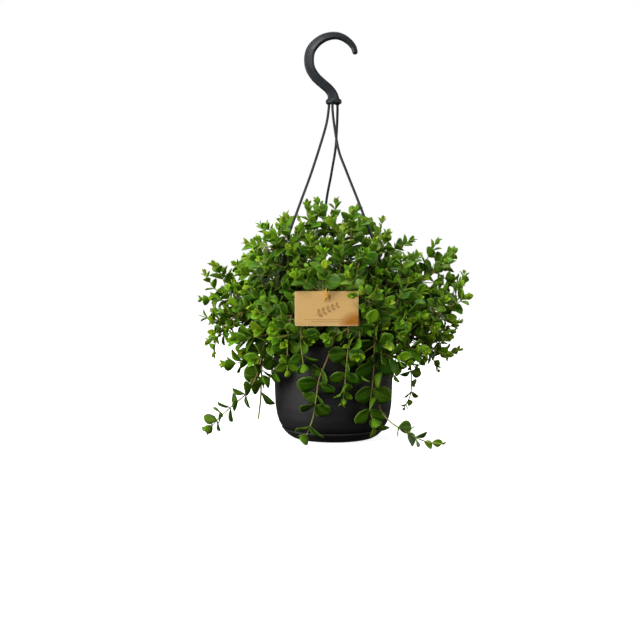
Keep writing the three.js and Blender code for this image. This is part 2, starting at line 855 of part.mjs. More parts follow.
// A leaf that would reach into the pot, or below the saucer, turns along the wall or up instead.
const LEAF_OFF_WALL = 3.5;
function turnedFromPot(base, reach, length) {
  let end = add(base, scale(reach, length));
  const radius = Math.hypot(end[0], end[1]);
  const least = potRadius(Math.min(end[2], RIM_Z - 2)) + LEAF_OFF_WALL;
  if (end[2] < RIM_Z + LEAF_OFF_WALL && Math.hypot(base[0], base[1]) > 60 && radius < least) {
    end = [(end[0] * least) / radius, (end[1] * least) / radius, end[2]];
  }
  end[2] = Math.max(end[2], BASE_Z + LEAF_OFF_WALL);
  return unit(subtract(end, base));
}

// A leaf's outline as [share of its length, share of its width], from base to blunt tip along one side
const LEAF_SIDE = [
  [0.42, 0.49],
  [0.95, 0.29],
];
const LEAF_FOLD = 0.3; // how far the sides stand above the midrib, as a share of their reach across
const LEAF_HANG = 0.06; // how far the tip hangs, as a share of the length

function leafPoint({ base, reach, normal, length, width }, along, across) {
  const lift = LEAF_FOLD * Math.abs(across) * width - LEAF_HANG * along * along * length;
  const flat = add(scale(reach, along * length), scale(cross(reach, normal), across * width));
  return add(base, add(flat, scale(normal, lift)));
}

function leafSamples(leaf) {
  const spots = [
    [0.22, 0],
    [1, 0],
  ];
  for (const along of [0.42, 0.64, 0.86]) {
    for (const across of [-0.38, 0, 0.38]) spots.push([along, across]);
  }
  return spots.map(([along, across]) => leafPoint(leaf, along, across));
}

// The blade's rim from its right side round the tip to its left side, on the upper or the lower face.
function rimOf(leaf, lift, grow = 0) {
  const growAlong = grow / leaf.length;
  const growAcross = grow / leaf.width;
  const [near, far] = LEAF_SIDE;
  const rim = [
    [near[0], near[1] + growAcross],
    [far[0] + growAlong, far[1] + growAcross],
    [far[0] + growAlong, -far[1] - growAcross],
    [near[0], -near[1] - growAcross],
  ];
  return rim.map(([along, across]) => add(leafPoint(leaf, along, across), scale(leaf.normal, lift)));
}

// A mesh that is written down point by point and face by face.
class Sheet {
  points = [];
  faces = [];

  add(points) {
    const first = this.points.length;
    this.points.push(...points);
    return points.map((_, i) => first + i);
  }

  quad(a, b, c, d) {
    this.faces.push([a, b, c], [a, c, d]);
  }

  // The blade on four root corners: upper left, upper right, lower right and lower left.
  blade([upperLeft, upperRight, lowerRight, lowerLeft], leaf, lift, grow) {
    const top = this.add(rimOf(leaf, lift, grow));
    const bottom = this.add(rimOf(leaf, -lift, grow));
    const upper = [upperLeft, upperRight, ...top];
    const lower = [lowerLeft, lowerRight, ...bottom];
    const [left, right, rightNear, rightFar, leftFar, leftNear] = [0, 1, 2, 3, 4, 5];
    const trough = [
      [left, right, rightFar],
      [left, rightFar, leftFar],
      [right, rightNear, rightFar],
      [left, leftFar, leftNear],
    ];
    for (const [a, b, c] of trough) {
      this.faces.push([upper[a], upper[b], upper[c]], [lower[a], lower[c], lower[b]]);
    }
    const edge = [right, rightNear, rightFar, leftFar, leftNear, left];
    for (let i = 1; i < edge.length; i++) {
      this.quad(upper[edge[i - 1]], lower[edge[i - 1]], lower[edge[i]], upper[edge[i]]);
    }
  }

  solid() {
    const geometry = new THREE.BufferGeometry();
    geometry.setAttribute("position", new THREE.Float32BufferAttribute(this.points.flat(), 3));
    geometry.setIndex(this.faces.flat());
    return solidOf(geometry);
  }
}

// A leaf's blade by itself, from a share of its length off its root, enlarged all round by a margin.
const OFF_STEM = 0.2; // where it can be tested against its own stem
const OFF_ROOT = 0.08; // where it can be tested against other leaves
const ROOT_HALF = 0.06; // half the root's width, as a share of the blade's
function looseBlade(leaf, margin, from) {
  const half = BLADE_THICKNESS / 2 + margin;
  const corner = (across, lift) => add(leafPoint(leaf, from, across), scale(leaf.normal, lift));
  const sheet = new Sheet();
  const spots = [
    [-ROOT_HALF, half],
    [ROOT_HALF, half],
    [ROOT_HALF, -half],
    [-ROOT_HALF, -half],
  ];
  const root = sheet.add(spots.map(([across, lift]) => corner(across, lift)));
  sheet.blade(root, leaf, half, margin);
  sheet.quad(root[0], root[3], root[2], root[1]);
  return sheet.solid();
}

// The stem's square tube with its leaves. Each leaf takes the place of one side of the tube between two
// close rings, so stem and leaves are one closed skin.
function leafyStem({ line }, pairs, leafless = false) {
  const length = lineLength(line);
  const rings = [];
  for (const pair of pairs) {
    rings.push({ station: pair.station - LEAF_ROOT_HEIGHT / 2, roll: pair.roll });
    rings.push({ station: pair.station + LEAF_ROOT_HEIGHT / 2, roll: pair.roll, pair });
  }
  const count = Math.ceil(length / STEM_STRETCH);
  const baseRoll = pairs.length ? pairs[pairs.length - 1].roll : 0;
  for (let i = 0; i <= count; i++) {
    const station = (length * i) / count;
    const atEnd = i === 0 || i === count;
    const close = pairs.some((pair) => Math.abs(pair.station - station) < STEM_STRETCH / 2.5);
    if (atEnd || !close) rings.push({ station, roll: baseRoll });
  }
  rings.sort((a, b) => a.station - b.station);
  const sheet = new Sheet();
  const corners = rings.map(({ station, roll }) => {
    const { point, heading, side } = alongLine(line, station);
    const other = cross(heading, side);
    const ring = [0, 1, 2, 3].map((i) => {
      const angle = roll + (i - 0.5) * QUARTER;
      const out = add(scale(side, Math.cos(angle)), scale(other, Math.sin(angle)));
      return add(point, scale(out, STEM_RADIUS));
    });
    return sheet.add(ring);
  });
  const [root, tip] = [corners[0], corners[corners.length - 1]];
  sheet.quad(root[3], root[2], root[1], root[0]);
  sheet.quad(tip[0], tip[1], tip[2], tip[3]);
  for (let i = 1; i < rings.length; i++) {
    const below = corners[i - 1];
    const above = corners[i];
    const pair = rings[i].pair;
    for (let j = 0; j < 4; j++) {
      const next = (j + 1) % 4;
      const face = [below[j], below[next], above[next], above[j]];
      const leaf = pair?.leaves.find(({ opposite }) => j === (pair.number + 2 * opposite) % 4);
      if (leaf && !leafless) sheet.blade(bestRoot(sheet, face, leaf), leaf, BLADE_THICKNESS / 2);
      else sheet.quad(...face);
    }
  }
  return sheet.solid();
}

// The corners of a leaf's root, started at the one that lies furthest to the leaf's upper left.
function bestRoot(sheet, face, leaf) {
  const left = cross(leaf.normal, leaf.reach);
  const upperLeft = face.map((i) => dot(subtract(sheet.points[i], leaf.base), add(left, leaf.normal)));
  const start = upperLeft.indexOf(Math.max(...upperLeft));
  return face.map((_, i) => face[(start + i) % 4]);
}

function meet(a, b) {
  const apartOn = (axis) => a.box.min[axis] > b.box.max[axis] || b.box.min[axis] > a.box.max[axis];
  return !(apartOn(0) || apartOn(1) || apartOn(2)) && !a.solid.intersect(b.solid).isEmpty();
}

const boxed = (solid) => ({ solid, box: solid.boundingBox() });

// True where a leaf stands well off the stem that goes on above it and below it.
const NEXT_STRETCH = 10;
const MOST_ALONG = 0.84; // cosine of the least angle between them
function clearOfOwnStem(line, station, { base, reach }) {
  return [-NEXT_STRETCH, NEXT_STRETCH].every((step) => {
    const next = alongLine(line, station + step).point;
    return dot(reach, unit(subtract(next, base))) < MOST_ALONG;
  });
}

// The tip's own pair and every fourth pair are left out. So is a leaf that turns along its own stem, or that
// would touch another leaf or stem.
function makePlant() {
  const { stems, taken } = growStems();
  const twineSamples = Array.from({ length: 9 }, (_, i) => [
    CARD_CENTRE.x - 2.4,
    CARD_CENTRE.y + i * 1.4,
    cardTop - 1,
  ]);
  const tubes = stems.map((stem) => boxed(leafyStem(stem, [])));
  const blades = stems.map(() => []);
  stems.forEach((stem, i) => {
    const pairs = [];
    for (const pair of leafPairsOf(stem)) {
      const kept = pair.number > 0 && (pair.number + 1) % PAIR_LEFT_OUT !== 0;
      if (!kept || blades[i].length >= LEAVES_ON_STEM) continue;
      const leaves = pair.leaves.filter((leaf) => {
        const samples = leafSamples(leaf);
        const free =
          clearOfOwnStem(stem.line, pair.station, leaf) &&
          samples.every((p) => clearOfPot(p, 1.4) && !nearCard(p, 2)) &&
          apart(samples, twineSamples, LEAF_SPACING) &&
          taken.every(({ owner, samples: other }) => owner === i || apart(samples, other, LEAF_SPACING));
        if (!free) return false;
        const blade = boxed(looseBlade(leaf, LEAF_MARGIN, OFF_ROOT));
        if (blades.some((set) => set.some((other) => meet(blade, other)))) return false;
        if (tubes.some((tube, j) => j !== i && meet(blade, tube))) return false;
        if (meet(boxed(looseBlade(leaf, LEAF_MARGIN, OFF_STEM)), tubes[i])) return false;
        blades[i].push(boxed(looseBlade(leaf, 0, OFF_ROOT)));
        return true;
      });
      if (leaves.length) pairs.push({ ...pair, leaves });
    }
    const bentTube = boxed(leafyStem(stem, pairs, true));
    for (const pair of pairs) {
      pair.leaves = pair.leaves.filter((leaf) => !meet(boxed(looseBlade(leaf, 0, OFF_STEM)), bentTube));
    }
    addPiece("stem_" + String(i + 1).padStart(2, "0"), leafyStem(stem, pairs), "leaf");
  });
  return stems;
}

function makeSoil(stems) {
  const foot = potWallInside[0];
  const top = SOIL_Z - BASE_Z;
  const outline = [
    [0, foot[1] + GAP],
    [foot[0] - 1, foot[1] + GAP],
    ...potWallInside.slice(1, 3).map(([r, h]) => [r - 2 * GAP, h + GAP]),
    [innerMouth - 2 * GAP, top - 2],
    [innerMouth - 5, top],
    [0, top],
  ];
  let soil = turned(outline.map(([r, h]) => [r, h + BASE_Z]));
  for (const { line } of stems) {
    const [x, y] = line[0];
    soil = soil.subtract(upright(ROOT_HOLE_RADIUS, ROOT_DEPTH + 5, 4, x, y, SOIL_Z - ROOT_DEPTH - 1));
  }
  addPiece("soil", soil, "soil");
}

makePot();
makeSaucer();
makeHook();
makeStrands();
makeCard();
makeTwine();
makeSoil(makePlant());

export default group;
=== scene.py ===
# A trailing jade peperomia in its hanging pot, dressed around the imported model.
# The object's own sizes are in millimetres and become metres where a mesh is made.
# The camera, the lights and the floor are in metres. +Z is up and the front is -Y.
import bisect
import json
import math

import bmesh
import bpy
import numpy as np
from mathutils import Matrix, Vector, noise

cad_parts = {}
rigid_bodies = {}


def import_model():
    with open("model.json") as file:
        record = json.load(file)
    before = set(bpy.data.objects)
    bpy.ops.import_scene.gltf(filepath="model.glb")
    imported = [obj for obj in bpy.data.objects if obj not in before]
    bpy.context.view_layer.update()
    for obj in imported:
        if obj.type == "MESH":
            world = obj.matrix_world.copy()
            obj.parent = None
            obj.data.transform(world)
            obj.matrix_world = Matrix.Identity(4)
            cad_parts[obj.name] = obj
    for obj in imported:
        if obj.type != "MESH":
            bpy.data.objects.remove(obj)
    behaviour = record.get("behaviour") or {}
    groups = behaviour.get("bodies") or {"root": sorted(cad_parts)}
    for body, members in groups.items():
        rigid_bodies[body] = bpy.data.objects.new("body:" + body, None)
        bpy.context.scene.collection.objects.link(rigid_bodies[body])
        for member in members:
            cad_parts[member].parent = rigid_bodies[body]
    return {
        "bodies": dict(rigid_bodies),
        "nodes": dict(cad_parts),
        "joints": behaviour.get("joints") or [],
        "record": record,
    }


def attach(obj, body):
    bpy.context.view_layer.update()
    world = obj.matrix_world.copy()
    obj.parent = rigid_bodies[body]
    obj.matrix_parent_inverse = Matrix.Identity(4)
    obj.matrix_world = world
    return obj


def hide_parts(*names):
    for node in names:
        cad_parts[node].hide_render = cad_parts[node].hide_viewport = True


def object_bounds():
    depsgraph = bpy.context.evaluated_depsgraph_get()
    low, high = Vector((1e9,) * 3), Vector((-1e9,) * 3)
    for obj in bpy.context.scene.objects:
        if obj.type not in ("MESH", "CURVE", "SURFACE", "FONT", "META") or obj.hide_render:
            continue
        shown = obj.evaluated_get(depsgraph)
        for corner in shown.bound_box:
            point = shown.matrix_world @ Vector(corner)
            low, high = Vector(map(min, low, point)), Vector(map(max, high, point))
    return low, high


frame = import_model()
cad_box = [list(corner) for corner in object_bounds()]

MM = 0.001
BODY = "root"

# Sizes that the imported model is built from
BASE_Z = -496
RIM_HEIGHT = 135
WALL = 1.8
SOIL_BELOW_RIM = 12
LUG_CIRCLE = 83
LUG_RADIUS = 6.5
LUG_THICKNESS = 3
LUG_TOP_BELOW_RIM = 3
LUG_HOLE_RADIUS = 2.4
LUG_ANGLES = [math.radians(degrees) for degrees in (211, 331, 91)]
DRAINS = 5
DRAIN_RADIUS = 3
DRAIN_CIRCLE = 30
HOOK_THICKNESS = 8
COLLAR_RADIUS = 10
COLLAR_TOP_Z = -73.5
COLLAR_HEIGHT = 5.5
STRAND_RADIUS = 1.6
SOCKET_DEPTH = 3
KNOB_RADIUS = 3.2
CARD_WIDTH = 75
CARD_HEIGHT = 41
CARD_THICKNESS = 0.8
CARD_CENTRE = (-9.2, -95, -328.6)
PUNCH_RADIUS = 2.4
PUNCH_BELOW_TOP = 6.8
TAG_STEM_Y = -87.4
STEM_RADIUS = 1.1
ROOT_DEPTH = 14
GROWN_STEMS = 22
GROWN_BARE = 38
STEM_SPACING = 3.4
GAP = 0.3

RIM_Z = BASE_Z + RIM_HEIGHT
SOIL_Z = RIM_Z - SOIL_BELOW_RIM
LUG_TOP_Z = RIM_Z - LUG_TOP_BELOW_RIM
INNER_MOUTH = 76 - WALL
CARD_TOP = CARD_CENTRE[2] + CARD_HEIGHT / 2
PUNCH_Z = CARD_TOP - PUNCH_BELOW_TOP

# Outlines as (radius, height above the saucer's underside)
POT_OUTSIDE = [
    (47, 2.2), (54.6, 4.6), (59.6, 8.6), (62.9, 13), (64.8, 14.2), (68.2, 19.2), (71.4, 28.6),
    (73.4, 42), (74, 56), (76, 121), (78.6, 122.6), (79, 133.6), (77.8, RIM_HEIGHT),
]
POT_INSIDE = [(46, 4), (58, 9.8), (66.4, 20), (71.6, 42), (INNER_MOUTH, RIM_HEIGHT)]
SAUCER_OUTSIDE = [(48.5, 0), (52, 0.8), (57.6, 4.2), (62, 8.6), (65.4, 13)]
SAUCER_INSIDE = [(47.6, 1.9), (55.2, 4.2), (60.2, 8.3), (63.6, 13)]


# Plain vectors
def plus(a, b):
    return (a[0] + b[0], a[1] + b[1], a[2] + b[2])


def minus(a, b):
    return (a[0] - b[0], a[1] - b[1], a[2] - b[2])


def scaled(a, s):
    return (a[0] * s, a[1] * s, a[2] * s)


def dot(a, b):
    return a[0] * b[0] + a[1] * b[1] + a[2] * b[2]


def cross(a, b):
    return (a[1] * b[2] - a[2] * b[1], a[2] * b[0] - a[0] * b[2], a[0] * b[1] - a[1] * b[0])


def size(a):
    return math.sqrt(dot(a, a))


def unit(a):
    return scaled(a, 1 / size(a))


def mixed(a, b, t):
    return plus(scaled(a, 1 - t), scaled(b, t))


def square_to(a, axis):
    return unit(minus(a, scaled(axis, dot(a, axis))))


def polar(radius, angle):
    return (radius * math.cos(angle), radius * math.sin(angle))


def fanned(heading, side, angle):
    """The direction square to a heading, at an angle round it from its side."""
    return plus(scaled(side, math.cos(angle)), scaled(cross(heading, side), math.sin(angle)))


def held(value, low=0.0, high=1.0):
    return min(high, max(low, value))


def draws_from(seed):
    """A repeatable draw between 0 and 1."""
    state = (seed * 7919 + 104729) % 2**32

    def draw():
        nonlocal state
        state = (state * 1664525 + 1013904223) % 2**32
        return state / 2**32

    draw()
    draw()
    return draw


SPAN_STEPS = 12


def smooth_line(points, steps=SPAN_STEPS):
    """Evenly divided spans of a Catmull-Rom curve through the points."""
    before = minus(scaled(points[0], 2), points[1])
    after = minus(scaled(points[-1], 2), points[-2])
    ends = [before, *points, after]
    line = []
    for i in range(1, len(ends) - 2):
        leave = scaled(minus(ends[i + 1], ends[i - 1]), 0.5)
        arrive = scaled(minus(ends[i + 2], ends[i]), 0.5)
        for j in range(steps):
            t = j / steps
            bend = plus(scaled(leave, t * (1 - t) * (1 - t)), scaled(arrive, t * t * (t - 1)))
            line.append(plus(mixed(ends[i], ends[i + 1], t * t * (3 - 2 * t)), bend))
    line.append(points[-1])
    return line


class Line:
    """A line with a heading, and a side that turns as little as it can, at each of its steps."""

    def __init__(self, points):
        self.points = points
        self.headings = []
        self.sides = []
        self.ends = []
        side = (1, 0, 0)
        far = 0
        for near_point, far_point in zip(points, points[1:]):
            step = minus(far_point, near_point)
            heading = scaled(step, 1 / size(step))
            side = square_to(side, heading)
            far += size(step)
            self.headings.append(heading)
            self.sides.append(side)
            self.ends.append(far)
        self.length = far

    def at(self, distance):
        i = min(bisect.bisect_left(self.ends, distance), len(self.ends) - 1)
        start = self.ends[i - 1] if i else 0
        point = plus(self.points[i], scaled(self.headings[i], distance - start))
        return point, self.headings[i], self.sides[i]

    def samples(self, step=2.5):
        count = math.ceil(self.length / step)
        return np.array([self.at(self.length * i / count)[0] for i in range(count + 1)])


# Meshes
def mesh_object(name, points, faces=(), edges=(), smooth=True):
    """An object at the origin from points in millimetres."""
    mesh = bpy.data.meshes.new(name)
    mesh.from_pydata([scaled(point, MM) for point in points], edges, faces)
    mesh.validate()
    if smooth:
        mesh.polygons.foreach_set("use_smooth", [True] * len(mesh.polygons))
    made = bpy.data.objects.new(name, mesh)
    bpy.context.scene.collection.objects.link(made)
    return made


def parts_of(shape):
    """The points and faces of a mesh under construction, which is then let go."""
    shape.verts.index_update()
    points = [tuple(vertex.co) for vertex in shape.verts]
    faces = [[vertex.index for vertex in face.verts] for face in shape.faces]
    shape.free()
    return points, faces


def add_values(piece, label, values, kind="FLOAT"):
    """A named attribute, with a value for each of the piece's points."""
    attribute = piece.data.attributes.new(label, kind, "POINT")
    field = "vector" if kind == "FLOAT_VECTOR" else "value"
    attribute.data.foreach_set(field, np.array(values, int if kind == "INT" else float).ravel())


def facing_out(piece):
    """Merges the piece's doubles and turns every face outwards."""
    shape = bmesh.new()
    shape.from_mesh(piece.data)
    bmesh.ops.remove_doubles(shape, verts=shape.verts, dist=1e-7)
    bmesh.ops.recalc_face_normals(shape, faces=shape.faces)
    shape.to_mesh(piece.data)
    shape.free()
    return piece


def finished(piece, slot, *nodes, material=None):
    """Each piece's last step: its material, where one is given, its body, and hiding the model's
    nodes that it stands for. The slot, the name of its finish, is not used.
    """
    if material:
        piece.data.materials.clear()
        piece.data.materials.append(material)
    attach(piece, BODY)
    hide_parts(*nodes)
    return piece


def joined(name, pieces):
    """One object from several, with their materials kept."""
    for other in bpy.context.selected_objects:
        other.select_set(False)
    for piece in pieces:
        piece.select_set(True)
    bpy.context.view_layer.objects.active = pieces[0]
    bpy.ops.object.join()
    whole = bpy.context.view_layer.objects.active
    whole.name = name
    whole.data.name = name
    whole.select_set(False)
    return whole


def rounded(outline, radius, steps=3):
    """An open outline with each inner corner cut back by up to the radius and rounded."""
    made = [outline[0]]
    for before, corner, after in zip(outline, outline[1:], outline[2:]):
        back = np.subtract(before, corner)
        on = np.subtract(after, corner)
        cut_back = min(radius, 0.42 * np.linalg.norm(back)) / np.linalg.norm(back)
        cut_on = min(radius, 0.42 * np.linalg.norm(on)) / np.linalg.norm(on)
        start = np.add(corner, back * cut_back)
        end = np.add(corner, on * cut_on)
        for i in range(steps + 1):
            t = i / steps
            point = start * (1 - t) ** 2 + np.array(corner) * 2 * t * (1 - t) + end * t**2
            made.append(tuple(point))
    made.append(outline[-1])
    return made


def skin(rings):
    """The faces between rings of point numbers. A ring of one point is a pole."""
    faces = []
    count = max(len(ring) for ring in rings)
    for low, high in zip(rings, rings[1:]):
        for i in range(count):
            j = (i + 1) % count
            if len(low) == 1:
                faces.append((low[0], high[j], high[i]))
            elif len(high) == 1:
                faces.append((low[i], low[j], high[0]))
            else:
                faces.append((low[i], low[j], high[j], high[i]))
    return faces


def lathe(name, outline, around, base_z=BASE_Z, centre=(0, 0)):
    """A body turned round an upright axis. It is closed where the outline starts and ends on the
    axis, or closes on itself."""
    points = []
    rings = []
    for radius, height in outline:
        if radius < 1e-6:
            rings.append([len(points)])
            points.append((centre[0], centre[1], height + base_z))
            continue
        rings.append(list(range(len(points), len(points) + around)))
        for i in range(around):
            x, y = polar(radius, 2 * math.pi * i / around)
            points.append((centre[0] + x, centre[1] + y, height + base_z))
    return mesh_object(name, points, skin(rings))


def swept(name, line, section_at):
    """A body along a list of (centre, across, out) places. section_at(i) gives its section at each
    of them, as (across, out) points in order round it."""
    points = []
    rings = []
    for i, (centre, across, out) in enumerate(line):
        section = section_at(i)
        rings.append(list(range(len(points), len(points) + len(section))))
        points += [plus(centre, plus(scaled(across, a), scaled(out, b))) for a, b in section]
    ends = [tuple(reversed(rings[0])), tuple(rings[-1])]
    return facing_out(mesh_object(name, points, skin(rings) + ends))


# Node trees
def put(tree, kind, inputs=None, **settings):
    """A node with its settings, and its inputs set to values or linked to other nodes' outputs."""
    made = tree.nodes.new(kind)
    for name, value in settings.items():
        setattr(made, name, value)
    for name, value in (inputs or {}).items():
        if isinstance(value, bpy.types.NodeSocket):
            tree.links.new(value, made.inputs[name])
        else:
            made.inputs[name].default_value = value
    return made


def coloured(tree, factor, stops):
    """A colour ramp over (position, colour) stops."""
    made = put(tree, "ShaderNodeValToRGB", {"Fac": factor})
    elements = made.color_ramp.elements
    while len(elements) < len(stops):
        elements.new(0.5)
    for element, (position, colour) in zip(elements, stops):
        element.position = position
        element.color = (*colour, 1)
    return made.outputs["Color"]


class GeometryTree:
    """A Geometry Nodes tree with named inputs."""

    def __init__(self, name, **inputs):
        self.tree = bpy.data.node_groups.new(name, "GeometryNodeTree")
        self.tree.is_modifier = True
        sockets = self.tree.interface
        sockets.new_socket("Geometry", in_out="INPUT", socket_type="NodeSocketGeometry")
        self.identifiers = {}
        for label, kind in inputs.items():
            socket = sockets.new_socket(label, in_out="INPUT", socket_type="NodeSocket" + kind)
            self.identifiers[label] = socket.identifier
        sockets.new_socket("Geometry", in_out="OUTPUT", socket_type="NodeSocketGeometry")
        self.given = self.tree.nodes.new("NodeGroupInput").outputs
        self.result = self.tree.nodes.new("NodeGroupOutput").inputs

    def put(self, kind, inputs=None, **settings):
        return put(self.tree, kind, inputs, **settings)

    def attribute(self, name, kind="FLOAT"):
        made = self.put("GeometryNodeInputNamedAttribute", data_type=kind)
        made.inputs["Name"].default_value = name
        shown = [socket for socket in made.outputs if socket.enabled]
        return next(socket for socket in shown if socket.name == "Attribute")

    def rods(self, lines):
        """Round rods along lines, as thick as their attribute 'radius' says."""
        curve = self.put("GeometryNodeMeshToCurve", {"Mesh": lines}).outputs[0]
        circle = {"Resolution": self.given["Sides"], "Radius": 1.0}
        ring = self.put("GeometryNodeCurvePrimitiveCircle", circle).outputs[0]
        radius = self.attribute("radius")
        sizes = {"Curve": curve, "Profile Curve": ring, "Scale": radius, "Fill Caps": True}
        return self.put("GeometryNodeCurveToMesh", sizes).outputs[0]

    def copied(self, points, instance, turn, span, **picked):
        """Real copies of the instance at the points."""
        inputs = {"Points": points, "Instance": instance, "Rotation": turn, "Scale": span}
        inputs.update({label.replace("_", " "): value for label, value in picked.items()})
        copies = self.put("GeometryNodeInstanceOnPoints", inputs).outputs[0]
        return self.put("GeometryNodeRealizeInstances", {"Geometry": copies}).outputs[0]

    def both(self, first, second):
        made = self.put("GeometryNodeJoinGeometry")
        self.tree.links.new(first, made.inputs[0])
        self.tree.links.new(second, made.inputs[0])
        return made.outputs[0]

    def smooth(self, geometry):
        return self.put("GeometryNodeSetShadeSmooth", {"Geometry": geometry}).outputs[0]

    def painted(self, geometry, finish="Material"):
        inputs = {"Geometry": geometry, "Material": self.given[finish]}
        return self.put("GeometryNodeSetMaterial", inputs).outputs[0]

    def ends_with(self, socket):
        self.tree.links.new(socket, self.result["Geometry"])
        return self

    def applied_to(self, piece, **values):
        """The tree's result on the piece as a plain mesh in the same object."""
        modifier = piece.modifiers.new("nodes", "NODES")
        modifier.node_group = self.tree
        for label, value in values.items():
            modifier[self.identifiers[label]] = value
        bpy.context.view_layer.update()
        graph = bpy.context.evaluated_depsgraph_get()
        plain = bpy.data.meshes.new_from_object(piece.evaluated_get(graph), depsgraph=graph)
        piece.modifiers.clear()
        old = piece.data
        piece.data = plain
        bpy.data.meshes.remove(old)
        plain.name = piece.name
        return piece


# Materials
class Finish:
    """A material under construction, with its Principled shader."""

    def __init__(self, name, **sockets):
        self.material = bpy.data.materials.new(name)
        self.material.use_nodes = True
        self.tree = self.material.node_tree
        self.shader = self.tree.nodes["Principled BSDF"]
        for socket, value in sockets.items():
            self.shader.inputs[socket.replace("_", " ")].default_value = value
        self.place = self.put("ShaderNodeTexCoord").outputs["Object"]

    def put(self, kind, inputs=None, **settings):
        return put(self.tree, kind, inputs, **settings)

    def noise(self, scale, detail=3, roughness=0.5, stretch=None):
        place = self.place
        if stretch:
            place = self.put("ShaderNodeMapping", {"Vector": place, "Scale": stretch}).outputs[0]
        sizes = {"Vector": place, "Scale": scale, "Detail": detail, "Roughness": roughness}
        return self.put("ShaderNodeTexNoise", sizes).outputs["Fac"]

    def attribute(self, name):
        return self.put("ShaderNodeAttribute", attribute_name=name).outputs["Fac"]

    def ramp(self, factor, *stops):
        return coloured(self.tree, factor, stops)

    def between(self, value, low, high, to_low=0.0, to_high=1.0):
        sizes = {"Value": value, "From Min": low, "From Max": high}
        sizes.update({"To Min": to_low, "To Max": to_high})
        return self.put("ShaderNodeMapRange", sizes).outputs[0]

    def maths(self, operation, a, b=0.5):
        made = self.put("ShaderNodeMath", operation=operation)
        for socket, value in zip(made.inputs, (a, b)):
            if isinstance(value, bpy.types.NodeSocket):
                self.tree.links.new(value, socket)
            else:
                socket.default_value = value
        return made.outputs[0]

    def tinted(self, colour, share, *tint):
        """The colour with a share of another one mixed in."""
        colours = {"Fac": share, "Color1": colour, "Color2": rgb(*tint)}
        return self.put("ShaderNodeMixRGB", colours).outputs[0]

    def part(self, value, strength):
        return self.maths("MULTIPLY", value, strength)

    def part_near(self, name, sharpness, strength):
        """A share that falls off from where the attribute is 1."""
        return self.part(self.maths("POWER", self.attribute(name), sharpness), strength)

    def paint(self, socket, value):
        self.tree.links.new(value, self.shader.inputs[socket])

    def bump(self, height, depth, strength=1.0):
        sizes = {"Height": height, "Distance": depth, "Strength": strength}
        self.paint("Normal", self.put("ShaderNodeBump", sizes).outputs[0])


def rgb(red, green, blue):
    return (red, green, blue, 1)


def leaf_finish():
    """Young leaves are bright yellow-green and old ones deep jade, with a pale rim and midrib. The
    dark end of the tone ramp is also painted shade for leaves deep inside the plant.
    """
    made = Finish("jade_leaf", Specular_IOR_Level=0.17)
    # tone: age from young to old leaves, and painted shade that darkens leaves deep inside the
    # plant
    colour = made.ramp(
        made.attribute("tone"),
        (0.0, (0.34, 0.5, 0.012)),
        (0.25, (0.14, 0.315, 0.006)),
        (0.55, (0.066, 0.185, 0.004)),
        (1.0, (0.02, 0.075, 0.002)),
    )
    shade = made.attribute("shade")
    hue = made.between(shade, 0, 1, 0.485, 0.512)
    bright = made.between(shade, 0, 1, 0.78, 1.22)
    varied = {"Hue": hue, "Value": bright, "Color": colour}
    colour = made.put("ShaderNodeHueSaturation", varied).outputs[0]
    mottle = made.between(made.noise(160, 4, 0.6), 0.35, 0.7, 0.0, 0.22)
    colour = made.tinted(colour, mottle, 0.11, 0.25, 0.006)
    colour = made.tinted(colour, made.part_near("rim", 5.0, 0.6), 0.31, 0.47, 0.06)
    colour = made.tinted(colour, made.part_near("vein", 9.0, 0.3), 0.24, 0.37, 0.04)
    under = made.attribute("under")
    colour = made.tinted(colour, made.part(under, 0.55), 0.12, 0.22, 0.012)
    made.paint("Base Color", colour)
    gloss = made.between(made.noise(90, 2), 0.3, 0.7, 0.27, 0.42)
    made.paint("Roughness", made.maths("ADD", gloss, made.part(under, 0.15)))
    made.bump(made.noise(700, 3, 0.6), 0.00025, 0.5)
    return made.material


def stem_finish():
    """Olive near the tips and reddish brown towards the root."""
    made = Finish("stem_skin", Specular_IOR_Level=0.4)
    colour = made.ramp(
        made.attribute("tone"),
        (0.0, (0.3, 0.36, 0.05)),
        (0.35, (0.24, 0.2, 0.04)),
        (0.7, (0.22, 0.1, 0.03)),
        (1.0, (0.12, 0.055, 0.025)),
    )
    streak = made.noise(450, 4, 0.6, (1, 1, 0.25))
    colour = made.tinted(colour, made.between(streak, 0.4, 0.75, 0, 0.35), 0.3, 0.22, 0.1)
    made.paint("Base Color", colour)
    made.paint("Roughness", made.between(streak, 0.3, 0.7, 0.45, 0.62))
    made.bump(streak, 0.0003, 0.6)
    return made.material


def pot_finish():
    """Matte anthracite moulded plastic with a fine grain, faint dust and a little wear."""
    made = Finish("pot_plastic", Specular_IOR_Level=0.34)
    cloud = made.noise(14, 4, 0.6)
    grain = made.noise(1400, 2, 0.6)
    colour = made.ramp(cloud, (0.3, (0.0085, 0.0075, 0.0078)), (0.75, (0.0125, 0.011, 0.0115)))
    speck = made.between(made.noise(520, 4, 0.7), 0.62, 0.74, 0, 0.35)
    colour = made.tinted(colour, speck, 0.035, 0.034, 0.028)
    made.paint("Base Color", colour)
    made.paint("Roughness", made.between(cloud, 0.3, 0.7, 0.5, 0.6))
    made.bump(grain, 0.00004, 0.2)
    return made.material


def hanger_finish():
    """Satin bluish-grey moulded plastic."""
    made = Finish("hanger_plastic", Specular_IOR_Level=0.3)
    cloud = made.noise(30, 3, 0.5)
    colour = made.ramp(cloud, (0.3, (0.011, 0.014, 0.017)), (0.7, (0.015, 0.0185, 0.022)))
    made.paint("Base Color", colour)
    made.paint("Roughness", made.between(made.noise(60, 3, 0.6), 0.3, 0.7, 0.36, 0.46))
    return made.material


